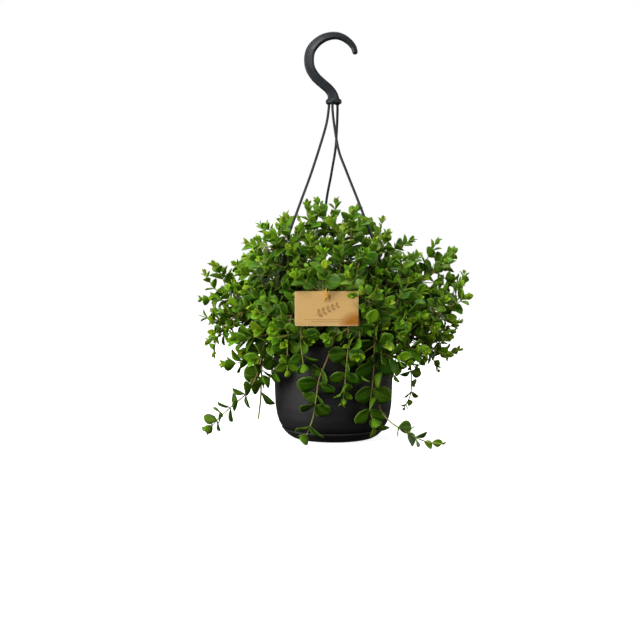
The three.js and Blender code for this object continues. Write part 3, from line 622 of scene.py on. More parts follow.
def soil_finish():
    """Dark brown potting soil, crumb by crumb."""
    made = Finish("potting_soil", Specular_IOR_Level=0.2, Roughness=0.92)
    crumb = made.noise(420, 6, 0.7)
    colour = made.ramp(
        crumb,
        (0.25, (0.006, 0.004, 0.003)),
        (0.55, (0.022, 0.014, 0.009)),
        (0.8, (0.06, 0.038, 0.022)),
    )
    made.paint("Base Color", colour)
    made.bump(crumb, 0.0012, 0.9)
    return made.material


def card_finish():
    """Uncoated kraft card: fibres both ways, flecks, darker brown towards the lower right corner
    and paler towards the left and bottom edges.
    """
    made = Finish("kraft_card", Specular_IOR_Level=0.25, Roughness=0.86)
    along = made.noise(260, 6, 0.7, (0.25, 1, 2.4))
    upright = made.noise(240, 6, 0.7, (2.2, 1, 0.3))
    fibre = made.part(made.maths("ADD", along, upright), 0.5)
    colour = made.ramp(
        fibre, (0.3, (0.6, 0.365, 0.13)), (0.52, (0.635, 0.395, 0.145)), (0.74, (0.67, 0.43, 0.17))
    )
    fleck = made.between(made.noise(900, 3, 0.6), 0.66, 0.75, 0, 0.5)
    colour = made.tinted(colour, fleck, 0.26, 0.13, 0.045)
    # darker brown towards the lower right corner
    colour = made.tinted(colour, made.part_near("corner", 0.8, 0.95), 0.38, 0.13, 0.008)
    # paler towards the left and bottom edges
    colour = made.tinted(colour, made.part_near("edge", 4.0, 0.45), 0.85, 0.68, 0.42)
    made.paint("Base Color", colour)
    made.bump(fibre, 0.0001, 0.3)
    return made.material


def ink_finish():
    """Brown ink that has sunk unevenly into the card."""
    made = Finish("brown_ink", Specular_IOR_Level=0.2, Roughness=0.8)
    patch = made.noise(600, 4, 0.7)
    colour = made.ramp(patch, (0.35, (0.34, 0.19, 0.06)), (0.7, (0.46, 0.28, 0.1)))
    made.paint("Base Color", colour)
    return made.material


def twine_finish():
    """Orange-brown jute."""
    made = Finish("jute_twine", Specular_IOR_Level=0.2, Roughness=0.9)
    fibre = made.noise(1500, 5, 0.7, (1, 1, 0.4))
    colour = made.ramp(
        fibre, (0.3, (0.42, 0.19, 0.03)), (0.5, (0.72, 0.38, 0.08)), (0.75, (0.9, 0.66, 0.32))
    )
    made.paint("Base Color", colour)
    made.bump(fibre, 0.0004, 0.8)
    return made.material


LEAF = leaf_finish()
STEM = stem_finish()
POT = pot_finish()
HANGER = hanger_finish()
SOIL = soil_finish()
CARD = card_finish()
INK = ink_finish()
TWINE = twine_finish()


# The stage: camera, floor and soft light
CAMERA_PLACE = (-0.017, -1.43, -0.251)
CAMERA_TARGET = (-0.017, 0, -0.3485)
CAMERA_LENS = 64
FLOOR_Z = -0.4965
FLOOR_SIDE = 30
FLOOR_GLOW = 0.84  # keeps the floor as white as the surroundings, out to its edge


def aimed(thing, place, target):
    thing.location = place
    thing.rotation_euler = (Vector(target) - Vector(place)).to_track_quat("-Z", "Y").to_euler()
    bpy.context.scene.collection.objects.link(thing)


def make_camera():
    data = bpy.data.cameras.new("camera")
    data.lens = CAMERA_LENS
    data.sensor_width = 36
    camera = bpy.data.objects.new("camera", data)
    aimed(camera, CAMERA_PLACE, CAMERA_TARGET)
    bpy.context.scene.camera = camera


def make_floor():
    half = FLOOR_SIDE / 2 / MM
    z = FLOOR_Z / MM
    corners = [(-half, -half, z), (half, -half, z), (half, half, z), (-half, half, z)]
    floor = mesh_object("floor", corners, [(0, 1, 2, 3)], smooth=False)
    made = Finish("pale_floor", Specular_IOR_Level=0.0, Roughness=1.0, Emission_Strength=FLOOR_GLOW)
    made.shader.inputs["Emission Color"].default_value = rgb(1, 1, 1)
    pale = made.ramp(made.noise(3, 2), (0.3, (0.86, 0.86, 0.85)), (0.7, (0.9, 0.9, 0.89)))
    made.paint("Base Color", pale)
    floor.data.materials.append(made.material)
    floor.visible_diffuse = False
    floor.visible_glossy = False


SOFTBOXES = [
    # name, place, side, watts
    ("key", (-0.9, -1.5, 1.0), 0.9, 26),
    ("fill", (1.5, -1.3, 0.3), 1.2, 4),
    ("top", (0.1, 0.1, 1.4), 1.1, 21),
    ("back", (-0.3, 1.6, 0.8), 1.2, 8),
    ("side", (-1.4, -0.7, -0.3), 0.6, 16),
]
# The surroundings' brightness at each sine of the height above the horizon: a white band behind the
# object, and dimmer above and below it
SURROUNDINGS = [(-1.0, 0.03), (-0.1, 0.06), (-0.03, 1.0), (0.27, 1.0), (0.34, 0.12), (1.0, 0.1)]


def make_light():
    for name, place, side, watts in SOFTBOXES:
        data = bpy.data.lights.new(name, "AREA")
        data.shape = "DISK"
        data.size = side
        data.energy = watts
        aimed(bpy.data.objects.new(name, data), place, (0, 0, -0.35))
    world = bpy.data.worlds.new("studio")
    world.use_nodes = True
    tree = world.node_tree
    place = put(tree, "ShaderNodeTexCoord").outputs["Generated"]
    height = put(tree, "ShaderNodeSeparateXYZ", {"Vector": place}).outputs["Z"]
    share = put(tree, "ShaderNodeMapRange", {"Value": height, "From Min": -1.0}).outputs[0]
    stops = [((sine + 1) / 2, (bright,) * 3) for sine, bright in SURROUNDINGS]
    tree.links.new(coloured(tree, share, stops), tree.nodes["Background"].inputs["Color"])
    bpy.context.scene.world = world
    bpy.context.scene.view_settings.view_transform = "Standard"


# Pot and saucer
POT_AROUND = 128


def lathe_outline(outside, inside, radius):
    outer = rounded([(0, outside[0][1]), *outside], radius)
    inner = rounded([*reversed(inside), (0, inside[0][1])], radius)
    return outer + inner


def ring_solid(name, centre, z, outer, inner, height, around=36, edge=0.6):
    """A flat ring with rounded edges, on an upright axis."""
    low = [(inner, edge), (inner + edge, 0), (outer - edge, 0), (outer, edge)]
    high = [(radius, height - up) for radius, up in reversed(low)]
    return lathe(name, [*low, *high, low[0]], around, z, centre)


def make_pot():
    rim = POT_OUTSIDE[-1]
    lip = [(rim[0], RIM_HEIGHT), (INNER_MOUTH + 0.6, RIM_HEIGHT), (INNER_MOUTH, RIM_HEIGHT - 0.8)]
    outside = [*POT_OUTSIDE[:-1], *lip]
    inside = [*POT_INSIDE[:-1], (INNER_MOUTH - 0.05, RIM_HEIGHT - 2)]
    body = lathe("pot_body", lathe_outline(outside, inside, 2.2), POT_AROUND)
    parts = [body]
    bottom = LUG_TOP_Z - LUG_THICKNESS
    for angle in LUG_ANGLES:
        centre = polar(LUG_CIRCLE, angle)
        parts.append(ring_solid("lug", centre, bottom, LUG_RADIUS, LUG_HOLE_RADIUS, LUG_THICKNESS))
    bottom = BASE_Z + POT_OUTSIDE[0][1] - 0.15
    for i in range(DRAINS):
        centre = polar(DRAIN_CIRCLE, 2 * math.pi * i / DRAINS)
        outer = DRAIN_RADIUS + 1.4
        parts.append(ring_solid("drain", centre, bottom, outer, DRAIN_RADIUS, 2.1, 24, 0.3))
    pot = facing_out(joined("pot_shell", parts))
    finished(pot, "pot_plastic", "pot", material=POT)


def make_saucer():
    saucer = lathe("saucer_dish", lathe_outline(SAUCER_OUTSIDE, SAUCER_INSIDE, 1.6), POT_AROUND)
    finished(facing_out(saucer), "pot_plastic", "saucer", material=POT)


# Soil
SOIL_RINGS = 30
SOIL_AROUND = 84
SOIL_ROUGH = 1.6
CRUMB_RADIUS = 1.15
CRUMB_DENSITY = 90000.0  # crumbs a square metre
CRUMB_SEED = 4
CRUMB_SHAPE_SEED = 77
CRUMB_SPANS = ((0.35, 0.3, 0.3), (1.5, 1.15, 0.95))  # least and greatest scale


def make_soil():
    top = SOIL_Z - BASE_Z
    inside = [(r - 2 * GAP, h + GAP) for r, h in POT_INSIDE[1:3]]
    edge = (INNER_MOUTH - 2 * GAP, top - 1.4)
    outline = [(0, 4 + GAP), (45, 4 + GAP), *inside, edge]
    outline += [(edge[0] * (1 - i / SOIL_RINGS), top - 0.7) for i in range(1, SOIL_RINGS)]
    outline.append((0, top - 0.7))
    soil = facing_out(lathe("soil_bed", outline, SOIL_AROUND))
    for vertex in soil.data.vertices:
        x, y, z = vertex.co
        if z > (SOIL_Z - 1) * MM and math.hypot(x, y) < (INNER_MOUTH - 3) * MM:
            rough = noise.noise(Vector((x, y, 0)) * 70) + 0.6 * noise.noise(Vector((x, y, 1)) * 190)
            vertex.co.z += SOIL_ROUGH * MM * rough
    limit = (SOIL_Z - 3) * MM
    add_values(soil, "top", [v.co.z > limit for v in soil.data.vertices])
    crumb = crumb_object()
    values = dict(Crumb=crumb, Density=CRUMB_DENSITY, Seed=CRUMB_SEED, Material=SOIL)
    crumbs_tree().applied_to(soil, **values)
    bpy.data.objects.remove(crumb)
    finished(soil, "soil", "soil")


def crumbs_tree():
    """Scatters crumbs over the faces that the attribute 'top' picks."""
    tree = GeometryTree("crumbs", Crumb="Object", Density="Float", Seed="Int", Material="Material")
    bed, seed = tree.given["Geometry"], tree.given["Seed"]
    scattered = {"Mesh": bed, "Density": tree.given["Density"], "Seed": seed}
    scattered["Selection"] = tree.attribute("top")
    spread = tree.put("GeometryNodeDistributePointsOnFaces", scattered)
    random = []
    for least, most in (((0, 0, 0), (2 * math.pi,) * 3), CRUMB_SPANS):
        draw = tree.put("FunctionNodeRandomValue", {"Seed": seed}, data_type="FLOAT_VECTOR")
        draw.inputs["Min"].default_value = least
        draw.inputs["Max"].default_value = most
        random.append(draw.outputs[0])
    shape = tree.put("GeometryNodeObjectInfo", {"Object": tree.given["Crumb"]}).outputs["Geometry"]
    crumbs = tree.copied(spread.outputs["Points"], shape, *random)
    return tree.ends_with(tree.painted(tree.both(bed, crumbs)))


def crumb_object():
    """An uneven crumb with a few dozen faces."""
    shape = bmesh.new()
    bmesh.ops.create_icosphere(shape, subdivisions=1, radius=CRUMB_RADIUS)
    draw = draws_from(CRUMB_SHAPE_SEED)
    for vertex in shape.verts:
        vertex.co = vertex.co * (0.75 + 0.5 * draw())
    return mesh_object("crumb", *parts_of(shape), smooth=False)


# Hook, as (x, z, width) from the tip round the crook and down to the collar
HOOK_LINE = [
    (26.4, -15.2, 6.8), (24.4, -9.4, 7.2), (19, -3, 7.9), (10, 2.8, 8.6), (0, 4.6, 9.2),
    (-11.6, 2, 10.2), (-21.8, -4.8, 11.2), (-28.6, -14, 12), (-30.6, -25.5, 12.4),
    (-28.8, -36, 12.2), (-22.6, -46, 12), (-14, -54, 11.8), (-6, -61, 11.8), (-1.4, -68, 13),
    (0, -76, 16),
]
HOOK_STEPS = 6
HOOK_TIP_STEPS = 7  # of the rounding at the tip
HOOK_RIDGE = 0.45  # how far the moulded line stands out, a little inside the crook's inner edge
RIDGE_FROM_EDGE = 2.3
SLEEVE_RADIUS = 2.7
SLEEVE_HEIGHT = 2
SLEEVE_BELOW = 1.1  # the collar


def hook_section(width, ends):
    """Half rounded, half flat, with a fine ridge on both faces near the inner edge."""
    half = width / 2
    deep = HOOK_THICKNESS / 2
    corner = min(2.6, half * 0.8)
    ridge = -half + RIDGE_FROM_EDGE

    def turn_at(middle, steps):
        curve = [polar(corner, math.pi / 2 * step / 4) for step in steps]
        return [(middle + a, deep - corner + b) for a, b in curve]

    front = turn_at(half - corner, range(5))
    front += [(ridge + 0.9, deep), (ridge + 0.45, deep + HOOK_RIDGE), (ridge, deep + HOOK_RIDGE)]
    front += [(ridge - 0.45, deep - 0.1), *turn_at(-half + corner, range(5, 9))]
    back = [(a, -b) for a, b in reversed(front)]
    return [(a * ends, b * ends) for a, b in front + back]


def make_hook():
    line = smooth_line([(x, z, width) for x, z, width in HOOK_LINE], HOOK_STEPS)
    places = []
    widths = []
    for i, (x, z, width) in enumerate(line):
        ahead = line[min(i + 1, len(line) - 1)]
        behind = line[max(i - 1, 0)]
        along = unit((ahead[0] - behind[0], 0, ahead[1] - behind[1]))
        outwards = (along[2], 0, -along[0])
        places.append(((x, 0, z), outwards, (0, -1, 0)))
        widths.append((width, 1.0))
    tip, across, out = places[0]
    along = unit((line[0][0] - line[1][0], 0, line[0][1] - line[1][1]))
    for i in range(1, HOOK_TIP_STEPS):
        angle = math.pi / 2 * i / HOOK_TIP_STEPS
        reach = 0.5 * line[0][2] * math.sin(angle)
        places.insert(0, (plus(tip, scaled(along, reach)), across, out))
        widths.insert(0, (line[0][2], math.cos(angle)))
    crook = swept("crook", places, lambda i: hook_section(*widths[i]))
    bottom = COLLAR_TOP_Z - COLLAR_HEIGHT
    outline = [(0, 0), (COLLAR_RADIUS - 0.8, 0), (COLLAR_RADIUS, 0.8), (COLLAR_RADIUS, 3.9)]
    outline += [(COLLAR_RADIUS - 0.5, 4.3), (COLLAR_RADIUS - 0.5, 5.0)]
    outline += [(COLLAR_RADIUS - 1.2, COLLAR_HEIGHT), (0, COLLAR_HEIGHT)]
    collar = lathe("collar", rounded(outline, 0.5), 64, bottom)
    sleeves = []
    for top in STRAND_TOPS:
        sizes = (bottom - SLEEVE_BELOW, SLEEVE_RADIUS, STRAND_RADIUS + 0.1, SLEEVE_HEIGHT)
        sleeves.append(ring_solid("sleeve", top, *sizes, around=20, edge=0.4))
    hook = facing_out(joined("hanger_hook", [crook, collar, *sleeves]))
    finished(hook, "hanger_plastic", "hook", material=HANGER)


# Strands: where the three leave the collar, and the middle of each as it bows outwards
STRAND_TOPS = [(-6, -1.5), (-1.4, -6), (4.6, 3.4)]
STRAND_BOWS = [
    [(-10.5, -5, -110), (-27, -13, -163), (-43, -21, -207), (-56, -29, -245), (-65.5, -36, -295)],
    [(0.5, -8, -105), (6, -12, -137), (15.8, -16.5, -164), (37.5, -27, -220), (60, -36, -285)],
    [(4.2, 6.5, -106), (2.4, 11, -134), (-2.6, 19, -164), (-10, 36, -210), (-10, 60, -280)],
]


def strand_points(i):
    x, y = STRAND_TOPS[i]
    top = COLLAR_TOP_Z - COLLAR_HEIGHT + SOCKET_DEPTH - GAP
    end_x, end_y = polar(LUG_CIRCLE, LUG_ANGLES[i])
    under = LUG_TOP_Z - LUG_THICKNESS - GAP - KNOB_RADIUS
    start = [(x, y, top), (x * 1.05, y * 1.05, top - 10)]
    return start + STRAND_BOWS[i] + [(end_x, end_y, LUG_TOP_Z + 12), (end_x, end_y, under)]


def path_object(name, points, radius):
    """A bare line that the rod tree makes a rod of this radius."""
    path = mesh_object(name, points, edges=[(i, i + 1) for i in range(len(points) - 1)])
    add_values(path, "radius", [radius * MM] * len(points))
    return path


def rod_tree():
    """Turns lines into round rods, as thick as their attribute 'radius' says."""
    tree = GeometryTree("rod", Sides="Int", Material="Material")
    rods = {"Geometry": tree.rods(tree.given["Geometry"])}
    solid = tree.put("GeometryNodeRealizeInstances", rods).outputs[0]
    return tree.ends_with(tree.painted(tree.smooth(solid)))


ROD = rod_tree()


def make_strands():
    for i in range(len(LUG_ANGLES)):
        line = smooth_line(strand_points(i), 8)
        strand = path_object(f"strand_{i + 1}_rod", line, STRAND_RADIUS)
        ROD.applied_to(strand, Sides=12, Material=HANGER)
        *end, bottom = line[-1]
        knob_outline = [(0, 0), (KNOB_RADIUS - 0.6, 0), (KNOB_RADIUS, 0.6), (KNOB_RADIUS, 1.2)]
        knob_outline += [(STRAND_RADIUS + 0.2, KNOB_RADIUS), (0, KNOB_RADIUS)]
        knob = lathe("knob", rounded(knob_outline, 0.4), 28, bottom, end)
        knob.data.materials.append(HANGER)
        whole = facing_out(joined(f"strand_{i + 1}_rod", [strand, knob]))
        finished(whole, "hanger_plastic", f"strand_{i + 1}", material=HANGER)


# Card
CARD_COLUMNS = 30
CARD_ROWS = 16
CARD_CORNER = 1.8
CARD_BOW = 0.5
DARK_CORNER_WIDTH = 25
DARK_CORNER_HEIGHT = 19
DARK_CORNER_RISE = 2.2  # how fast the darkening deepens from its border
PALE_EDGE_WIDTH = 5


def card_outline(corner, steps):
    """The card's rounded rectangle, anticlockwise from the lower right corner."""
    half_w = CARD_WIDTH / 2
    half_h = CARD_HEIGHT / 2
    points = []
    corners = [(1, -1, -90), (1, 1, 0), (-1, 1, 90), (-1, -1, 180)]
    for side_x, side_z, start in corners:
        for i in range(steps + 1):
            angle = math.radians(start + 90 * i / steps)
            x, z = polar(corner, angle)
            points.append((side_x * (half_w - corner) + x, side_z * (half_h - corner) + z))
    return points


def card_grid():
    """The card's points and faces in its own x and z: its outline and hole, filled as a grid."""
    shape = bmesh.new()
    hole_z = CARD_HEIGHT / 2 - PUNCH_BELOW_TOP
    hole = [polar(PUNCH_RADIUS, angle) for angle in np.linspace(0, 2 * math.pi, 29)[:-1]]
    for loop in (card_outline(CARD_CORNER, 5), [(x, hole_z + z) for x, z in hole]):
        made = [shape.verts.new((x, 0, z)) for x, z in loop]
        for i, vertex in enumerate(made):
            shape.edges.new((vertex, made[(i + 1) % len(made)]))
    bmesh.ops.triangle_fill(shape, use_beauty=True, edges=shape.edges[:])
    for axis, count, span in ((0, CARD_COLUMNS, CARD_WIDTH), (2, CARD_ROWS, CARD_HEIGHT)):
        for i in range(1, count):
            at = [0, 0, 0]
            at[axis] = span * (i / count - 0.5)
            normal = [0, 0, 0]
            normal[axis] = 1
            geometry = shape.verts[:] + shape.edges[:] + shape.faces[:]
            bmesh.ops.bisect_plane(shape, geom=geometry, plane_co=at, plane_no=normal)
    bmesh.ops.remove_doubles(shape, verts=shape.verts, dist=0.02)
    return parts_of(shape)


def make_card():
    """A thin plate with rounded corners and a punched hole, bowed a little."""
    points, faces = card_grid()
    whole = []
    for side in (-1, 1):
        for x, _, z in points:
            bow = CARD_BOW * ((x / CARD_WIDTH * 2) ** 2 - 0.5) * 0.5
            wave = 0.12 * math.sin(x * 0.11 + z * 0.2)
            y = side * (CARD_THICKNESS / 2 - 0.12) + (bow + wave) * 0.5
            whole.append(plus(CARD_CENTRE, (x, y, z)))
    count = len(points)
    both = [list(reversed(face)) for face in faces] + [[i + count for i in face] for face in faces]
    used = {}
    for face in faces:
        for a, b in zip(face, face[1:] + face[:1]):
            used[(a, b)] = True
    both += [[a, b, b + count, a + count] for a, b in used if (b, a) not in used]
    card = facing_out(mesh_object("kraft_card", whole, both, smooth=False))
    corner_darkening = []
    edges = []
    for vertex in card.data.vertices:
        x = vertex.co.x / MM - CARD_CENTRE[0]
        z = vertex.co.z / MM - CARD_CENTRE[2]
        off_corner = ((x - CARD_WIDTH / 2) / DARK_CORNER_WIDTH, (z + CARD_HEIGHT / 2) / DARK_CORNER_HEIGHT)
        corner_darkening.append(held(DARK_CORNER_RISE * (1 - math.hypot(*off_corner))))
        nearest = min(x + CARD_WIDTH / 2, z + CARD_HEIGHT / 2)
        edges.append(max(0.0, 1 - nearest / PALE_EDGE_WIDTH))
    add_values(card, "corner", corner_darkening)
    add_values(card, "edge", edges)
    finished(card, "kraft_card", "tag_card", material=CARD)


# Print on the card: a plain sprig and two rules
PRINT_LIFT = 0.05
SPRIG = [(-14, -8), (13, 4)]  # its stalk
SPRIG_PAIRS = 5
SPRIG_LEAF_POINTS = 14
RULES = [(-13.2, 26), (-15.4, 18)]  # height on the card and half length
RULE_HEIGHT = 0.5


def flat_shape(points, thickness=0.06):
    """A closed slab on the card's front from an outline in the card's own x and z."""
    y = CARD_CENTRE[1] - CARD_THICKNESS / 2 - PRINT_LIFT
    front = [(CARD_CENTRE[0] + x, y - thickness / 2, CARD_CENTRE[2] + z) for x, z in points]
    back = [(px, py + thickness, pz) for px, py, pz in front]
    count = len(points)
    faces = [tuple(range(count)), tuple(reversed(range(count, 2 * count)))]
    for i in range(count):
        j = (i + 1) % count
        faces.append((i, i + count, j + count, j))
    return facing_out(mesh_object("print", front + back, faces, smooth=False))


def make_print():
    shapes = []
    for z, half in RULES:
        top = z + RULE_HEIGHT
        shapes.append(flat_shape([(-half, z), (half, z), (half, top), (-half, top)]))
    (x0, z0), (x1, z1) = SPRIG
    shapes.append(flat_shape([(x0, z0 - 0.2), (x1, z1 - 0.2), (x1, z1 + 0.3), (x0, z0 + 0.3)]))
    for i in range(SPRIG_PAIRS):
        t = (i + 0.7) / SPRIG_PAIRS
        reach = 6 - 2.2 * t
        for side in (1, -1):
            lean = math.radians(24 + side * 52)
            outline = []
            for j in range(SPRIG_LEAF_POINTS):
                a, b = polar(1, 2 * math.pi * j / SPRIG_LEAF_POINTS)
                along = reach * (0.62 + 0.5 * a)
                across = 0.34 * reach * b
                leaf_x = x0 + (x1 - x0) * t + along * math.cos(lean) - across * math.sin(lean)
                leaf_z = z0 + (z1 - z0) * t + along * math.sin(lean) + across * math.cos(lean)
                outline.append((leaf_x, leaf_z))
            shapes.append(flat_shape(outline))
    finished(joined("card_print", shapes), "kraft_card", material=INK)


# Twine: two twisted plies over the card's top edge and round the stem behind it
PLY_RADIUS = 0.46
PLY_OFFSET = 0.4
PLY_TURN = 3.4  # length of one turn
KNOT = (CARD_CENTRE[0], CARD_CENTRE[1] - 3, PUNCH_Z + 1.2)
KNOT_TURNS = 4.2
KNOT_HALF_WIDTH = 2.7
KNOT_HALF_DEPTH = 1.3
KNOT_HEIGHT = 5.6
KNOT_STEPS = 40
TWINE_TAILS = [[(-0.8, -0.2, -1), (-2.2, -0.5, -3.4), (-2.9, -0.2, -5.6)],
               [(0.6, -0.2, -1), (1.5, -0.4, -3), (1.7, 0, -4.8)]]


def twine_route():
    x, front, knot_z = KNOT
    return [
        (x - 0.4, front, knot_z),
        (x - 0.4, front + 0.2, CARD_TOP - 1),
        (x - 0.5, CARD_CENTRE[1] - 0.4, CARD_TOP + 3.6),
        (x - 1, CARD_CENTRE[1] + 2.6, CARD_TOP + 0.4),
        (x - 6.2, TAG_STEM_Y - 1, CARD_TOP - 1),
        (x - 4.6, TAG_STEM_Y + 2.9, CARD_TOP - 0.8),
        (x - 1.6, TAG_STEM_Y + 3.2, CARD_TOP - 1.4),
        (x + 1.4, TAG_STEM_Y + 0.6, CARD_TOP - 3.6),
        (x + 0.6, CARD_CENTRE[1] + 2.6, PUNCH_Z - 0.3),
        (x, CARD_CENTRE[1], PUNCH_Z - 0.5),
        (x + 0.2, front, knot_z - 0.8),
    ]


def twisted(points, start=0.0, thickness=1.0):
    """The two plies of a piece of twine along a route."""
    line = Line(smooth_line(points, 10))
    count = max(8, round(line.length / 0.45))
    plies = []
    for ply in (0, math.pi):
        route = []
        for i in range(count + 1):
            distance = line.length * i / count
            point, heading, side = line.at(distance)
            out = fanned(heading, side, start + ply + 2 * math.pi * distance / PLY_TURN)
            route.append(plus(point, scaled(out, PLY_OFFSET * thickness)))
        plies.append(path_object("ply", route, PLY_RADIUS * thickness))
    return plies


def make_twine():
    plies = twisted(twine_route())
    wrap = []
    for i in range(KNOT_STEPS + 1):
        a, b = polar(1, 2 * math.pi * KNOT_TURNS * i / KNOT_STEPS)
        up = KNOT_HEIGHT * i / KNOT_STEPS - 2.9
        wrap.append(plus(KNOT, (KNOT_HALF_WIDTH * a - 0.4, KNOT_HALF_DEPTH * b, up)))
    plies += twisted(wrap, 1.0)
    for tail in TWINE_TAILS:
        plies += twisted([plus(KNOT, point) for point in tail], 0.5, 0.8)
    for ply in plies:
        ROD.applied_to(ply, Sides=6, Material=TWINE)
    finished(facing_out(joined("jute_twine", plies)), "twine", "tag_twine", material=TWINE)


# Stems given one by one: "bare" is the leafless length from the root, "end" the leafless length at
# a cut tip, "mature" how many of its youngest pairs the stem lacks, and "vigour" scales the leaves.
# A plain stem has no side shoots, and a bushy one has many more, up to its tip.
PLACED = [
    # Left trailing stem, down to the level of the saucer
    dict(bare=70, mature=2, vigour=0.8, plain=True, points=[
        (-52, -24), (-72, -38, -338), (-84, -47, -372), (-93, -50, -410), (-106, -46, -434),
        (-124, -38, -451), (-142, -28, -468), (-156, -14, -485)]),
    # Thin right trailing stem with a leafy end
    dict(bare=205, vigour=0.78, plain=True, points=[
        (44, -36), (55, -64, -339), (58, -72, -390), (53, -71, -441), (64, -82, -462),
        (86, -98, -475), (105, -110, -483), (124, -118, -485)]),
    # Right arcs with upturned ends
    dict(bare=60, vigour=0.8, points=[
        (32, 6), (58, -4, -318), (90, -10, -300), (116, -12, -292), (141, -14, -282),
        (146, -14, -266)]),
    dict(bare=60, vigour=0.8, points=[
        (46, -14), (74, -26, -330), (98, -34, -348), (122, -38, -344), (149, -36, -325),
        (158, -34, -306), (160, -32, -289)]),
    dict(bare=80, vigour=0.72, points=[
        (50, -6), (76, -14, -333), (98, -20, -368), (122, -24, -381), (143, -26, -386),
        (156, -26, -383)]),
    # Over the front of the pot
    dict(bare=126, mature=3, vigour=1.05, plain=True, points=[
        (-2, -52), (3, -79, -338), (0, -88, -364), (-9, -88, -390), (-18, -86, -413),
        (-22, -84, -440),
        (-26, -82, -462), (-33, -80, -481)]),
    dict(bare=64, vigour=0.95, points=[
        (12, -50), (15, -80, -336), (17, -90, -364), (15, -89, -390), (13, -87, -414),
        (10, -86, -440)]),
    dict(bare=56, mature=2, vigour=1.1, points=[
        (36, -41), (45, -71, -335), (48, -79, -376), (46, -77, -417), (43, -73, -452),
        (50, -68, -470)]),
    dict(bare=40, mature=1, vigour=1.0, points=[
        (-40, -40), (-50, -72, -338), (-55, -84, -368), (-56, -86, -402)]),
    dict(bare=50, mature=2, vigour=1.0, points=[
        (20, -50), (28, -80, -337), (30, -88, -364), (28, -85, -390), (32, -82, -410)]),
    dict(bare=84, mature=1, vigour=0.95, points=[
        (50, -28), (66, -58, -335), (74, -63, -362), (75, -61, -388), (72, -60, -411)]),
    dict(bare=46, mature=3, vigour=1.1, points=[
        (-44, -30), (-68, -56, -334), (-78, -58, -364), (-74, -56, -394), (-78, -52, -416)]),
    dict(bare=46, mature=2, vigour=1.05, points=[
        (-28, -48), (-36, -80, -338), (-40, -90, -362), (-37, -92, -394)]),
    # Cut stem at the left
    dict(bare=66, end=34, mature=4, vigour=1.05, points=[
        (-52, -8), (-76, -16, -338), (-87, -21, -378), (-90, -22, -420), (-91, -22, -446),
        (-94, -22, -471)]),
    # Left side
    dict(bare=50, vigour=0.76, points=[
        (-48, 2), (-80, -6, -336), (-112, -10, -338), (-136, -12, -354), (-147, -14, -374),
        (-149, -14, -390)]),
    dict(bare=50, vigour=0.85, points=[
        (-36, 8), (-66, 6, -326), (-104, 2, -330), (-136, 0, -318), (-152, 0, -306),
        (-160, 0, -290)]),
    dict(bare=54, vigour=0.82, points=[
        (-50, 14), (-82, 14, -340), (-114, 10, -352), (-146, 8, -350), (-170, 8, -343)]),
    # Right side, hanging
    dict(bare=60, vigour=0.66, points=[
        (56, 6), (83, -5, -340), (93, -15, -376), (96, -24, -410), (96, -24, -438),
        (88, -24, -456)]),
    dict(bare=60, vigour=0.72, points=[
        (52, 14), (84, 2, -342), (106, -4, -370), (122, -8, -392), (131, -8, -410)]),
    # The stem that the card is tied to
    dict(bare=92, vigour=0.95, points=[
        (-14, -50), (-14, -76, -340), (-12.6, TAG_STEM_Y, -318), (-13.4, TAG_STEM_Y, -300),
        (-14, -84, -280), (-13, -84, -262)]),
    # Bright rosette over the card's right corner, and stems beside the card
    dict(bare=58, vigour=0.9, bushy=True, points=[
        (28, -46), (36, -74, -337), (45, -88, -322), (40, -101, -312), (33, -107, -307)]),
    dict(bare=46, vigour=0.95, points=[
        (-36, -46), (-60, -68, -342), (-72, -76, -334), (-82, -82, -318)]),
    dict(bare=40, vigour=1.05, points=[
        (44, -22), (68, -52, -334), (86, -66, -336), (106, -74, -346)]),
    dict(bare=40, vigour=1.1, points=[(2, -40), (6, -62, -330), (14, -78, -306), (17, -86, -284)]),
    # Crown, the middle
    dict(bare=70, vigour=0.85, points=[
        (-14, 2), (-20, 0, -300), (-28, -4, -250), (-33, -10, -202)]),
    dict(bare=70, vigour=0.85, points=[(2, 8), (3, 8, -300), (0, 6, -250), (3, 5, -199)]),
    dict(bare=66, vigour=0.85, points=[
        (10, -12), (14, -16, -300), (20, -22, -255), (23, -25, -213)]),
    dict(bare=60, vigour=0.82, points=[
        (-26, -6), (-46, -8, -302), (-70, -12, -262), (-91, -16, -230)]),
    dict(bare=60, vigour=0.82, points=[(26, 0), (38, -2, -300), (52, -4, -262), (61, -6, -223)]),
    # Crown, the front
    dict(bare=56, vigour=0.95, points=[
        (16, -30), (22, -44, -312), (28, -56, -286), (31, -60, -264)]),
    dict(bare=56, vigour=0.9, points=[
        (-18, -24), (-36, -34, -300), (-53, -42, -262), (-62, -44, -224)]),
    dict(bare=56, vigour=0.95, points=[
        (-8, -28), (-16, -42, -304), (-26, -50, -272), (-30, -50, -246)]),
    dict(bare=56, vigour=0.9, points=[(4, -26), (6, -40, -300), (10, -48, -262), (12, -49, -234)]),
    dict(bare=56, vigour=0.9, points=[
        (24, -20), (38, -34, -304), (47, -44, -276), (50, -47, -250)]),
    dict(bare=50, vigour=0.95, points=[
        (-36, -20), (-62, -28, -314), (-84, -38, -286), (-98, -44, -264)]),
    dict(bare=50, vigour=0.95, points=[
        (40, -12), (66, -24, -316), (80, -38, -294), (86, -46, -270)]),
]

# Stems placed by rule: tips spread evenly over a dome round the pot's mouth by the golden angle
GOLDEN_ANGLE = math.pi * (3 - math.sqrt(5))
DOME_CENTRE_Z = -345
DOME_RADIUS = 156
DOME_RISE = 143
DOME_DROP = 92
DOME_TAPER = 0.8  # 0.5 for a round dome, more for a narrower crown
DOME_LEAN = 24  # to the left, at the dome's top
FRONT_Y = -34  # the listed stems fill the dome in front of this
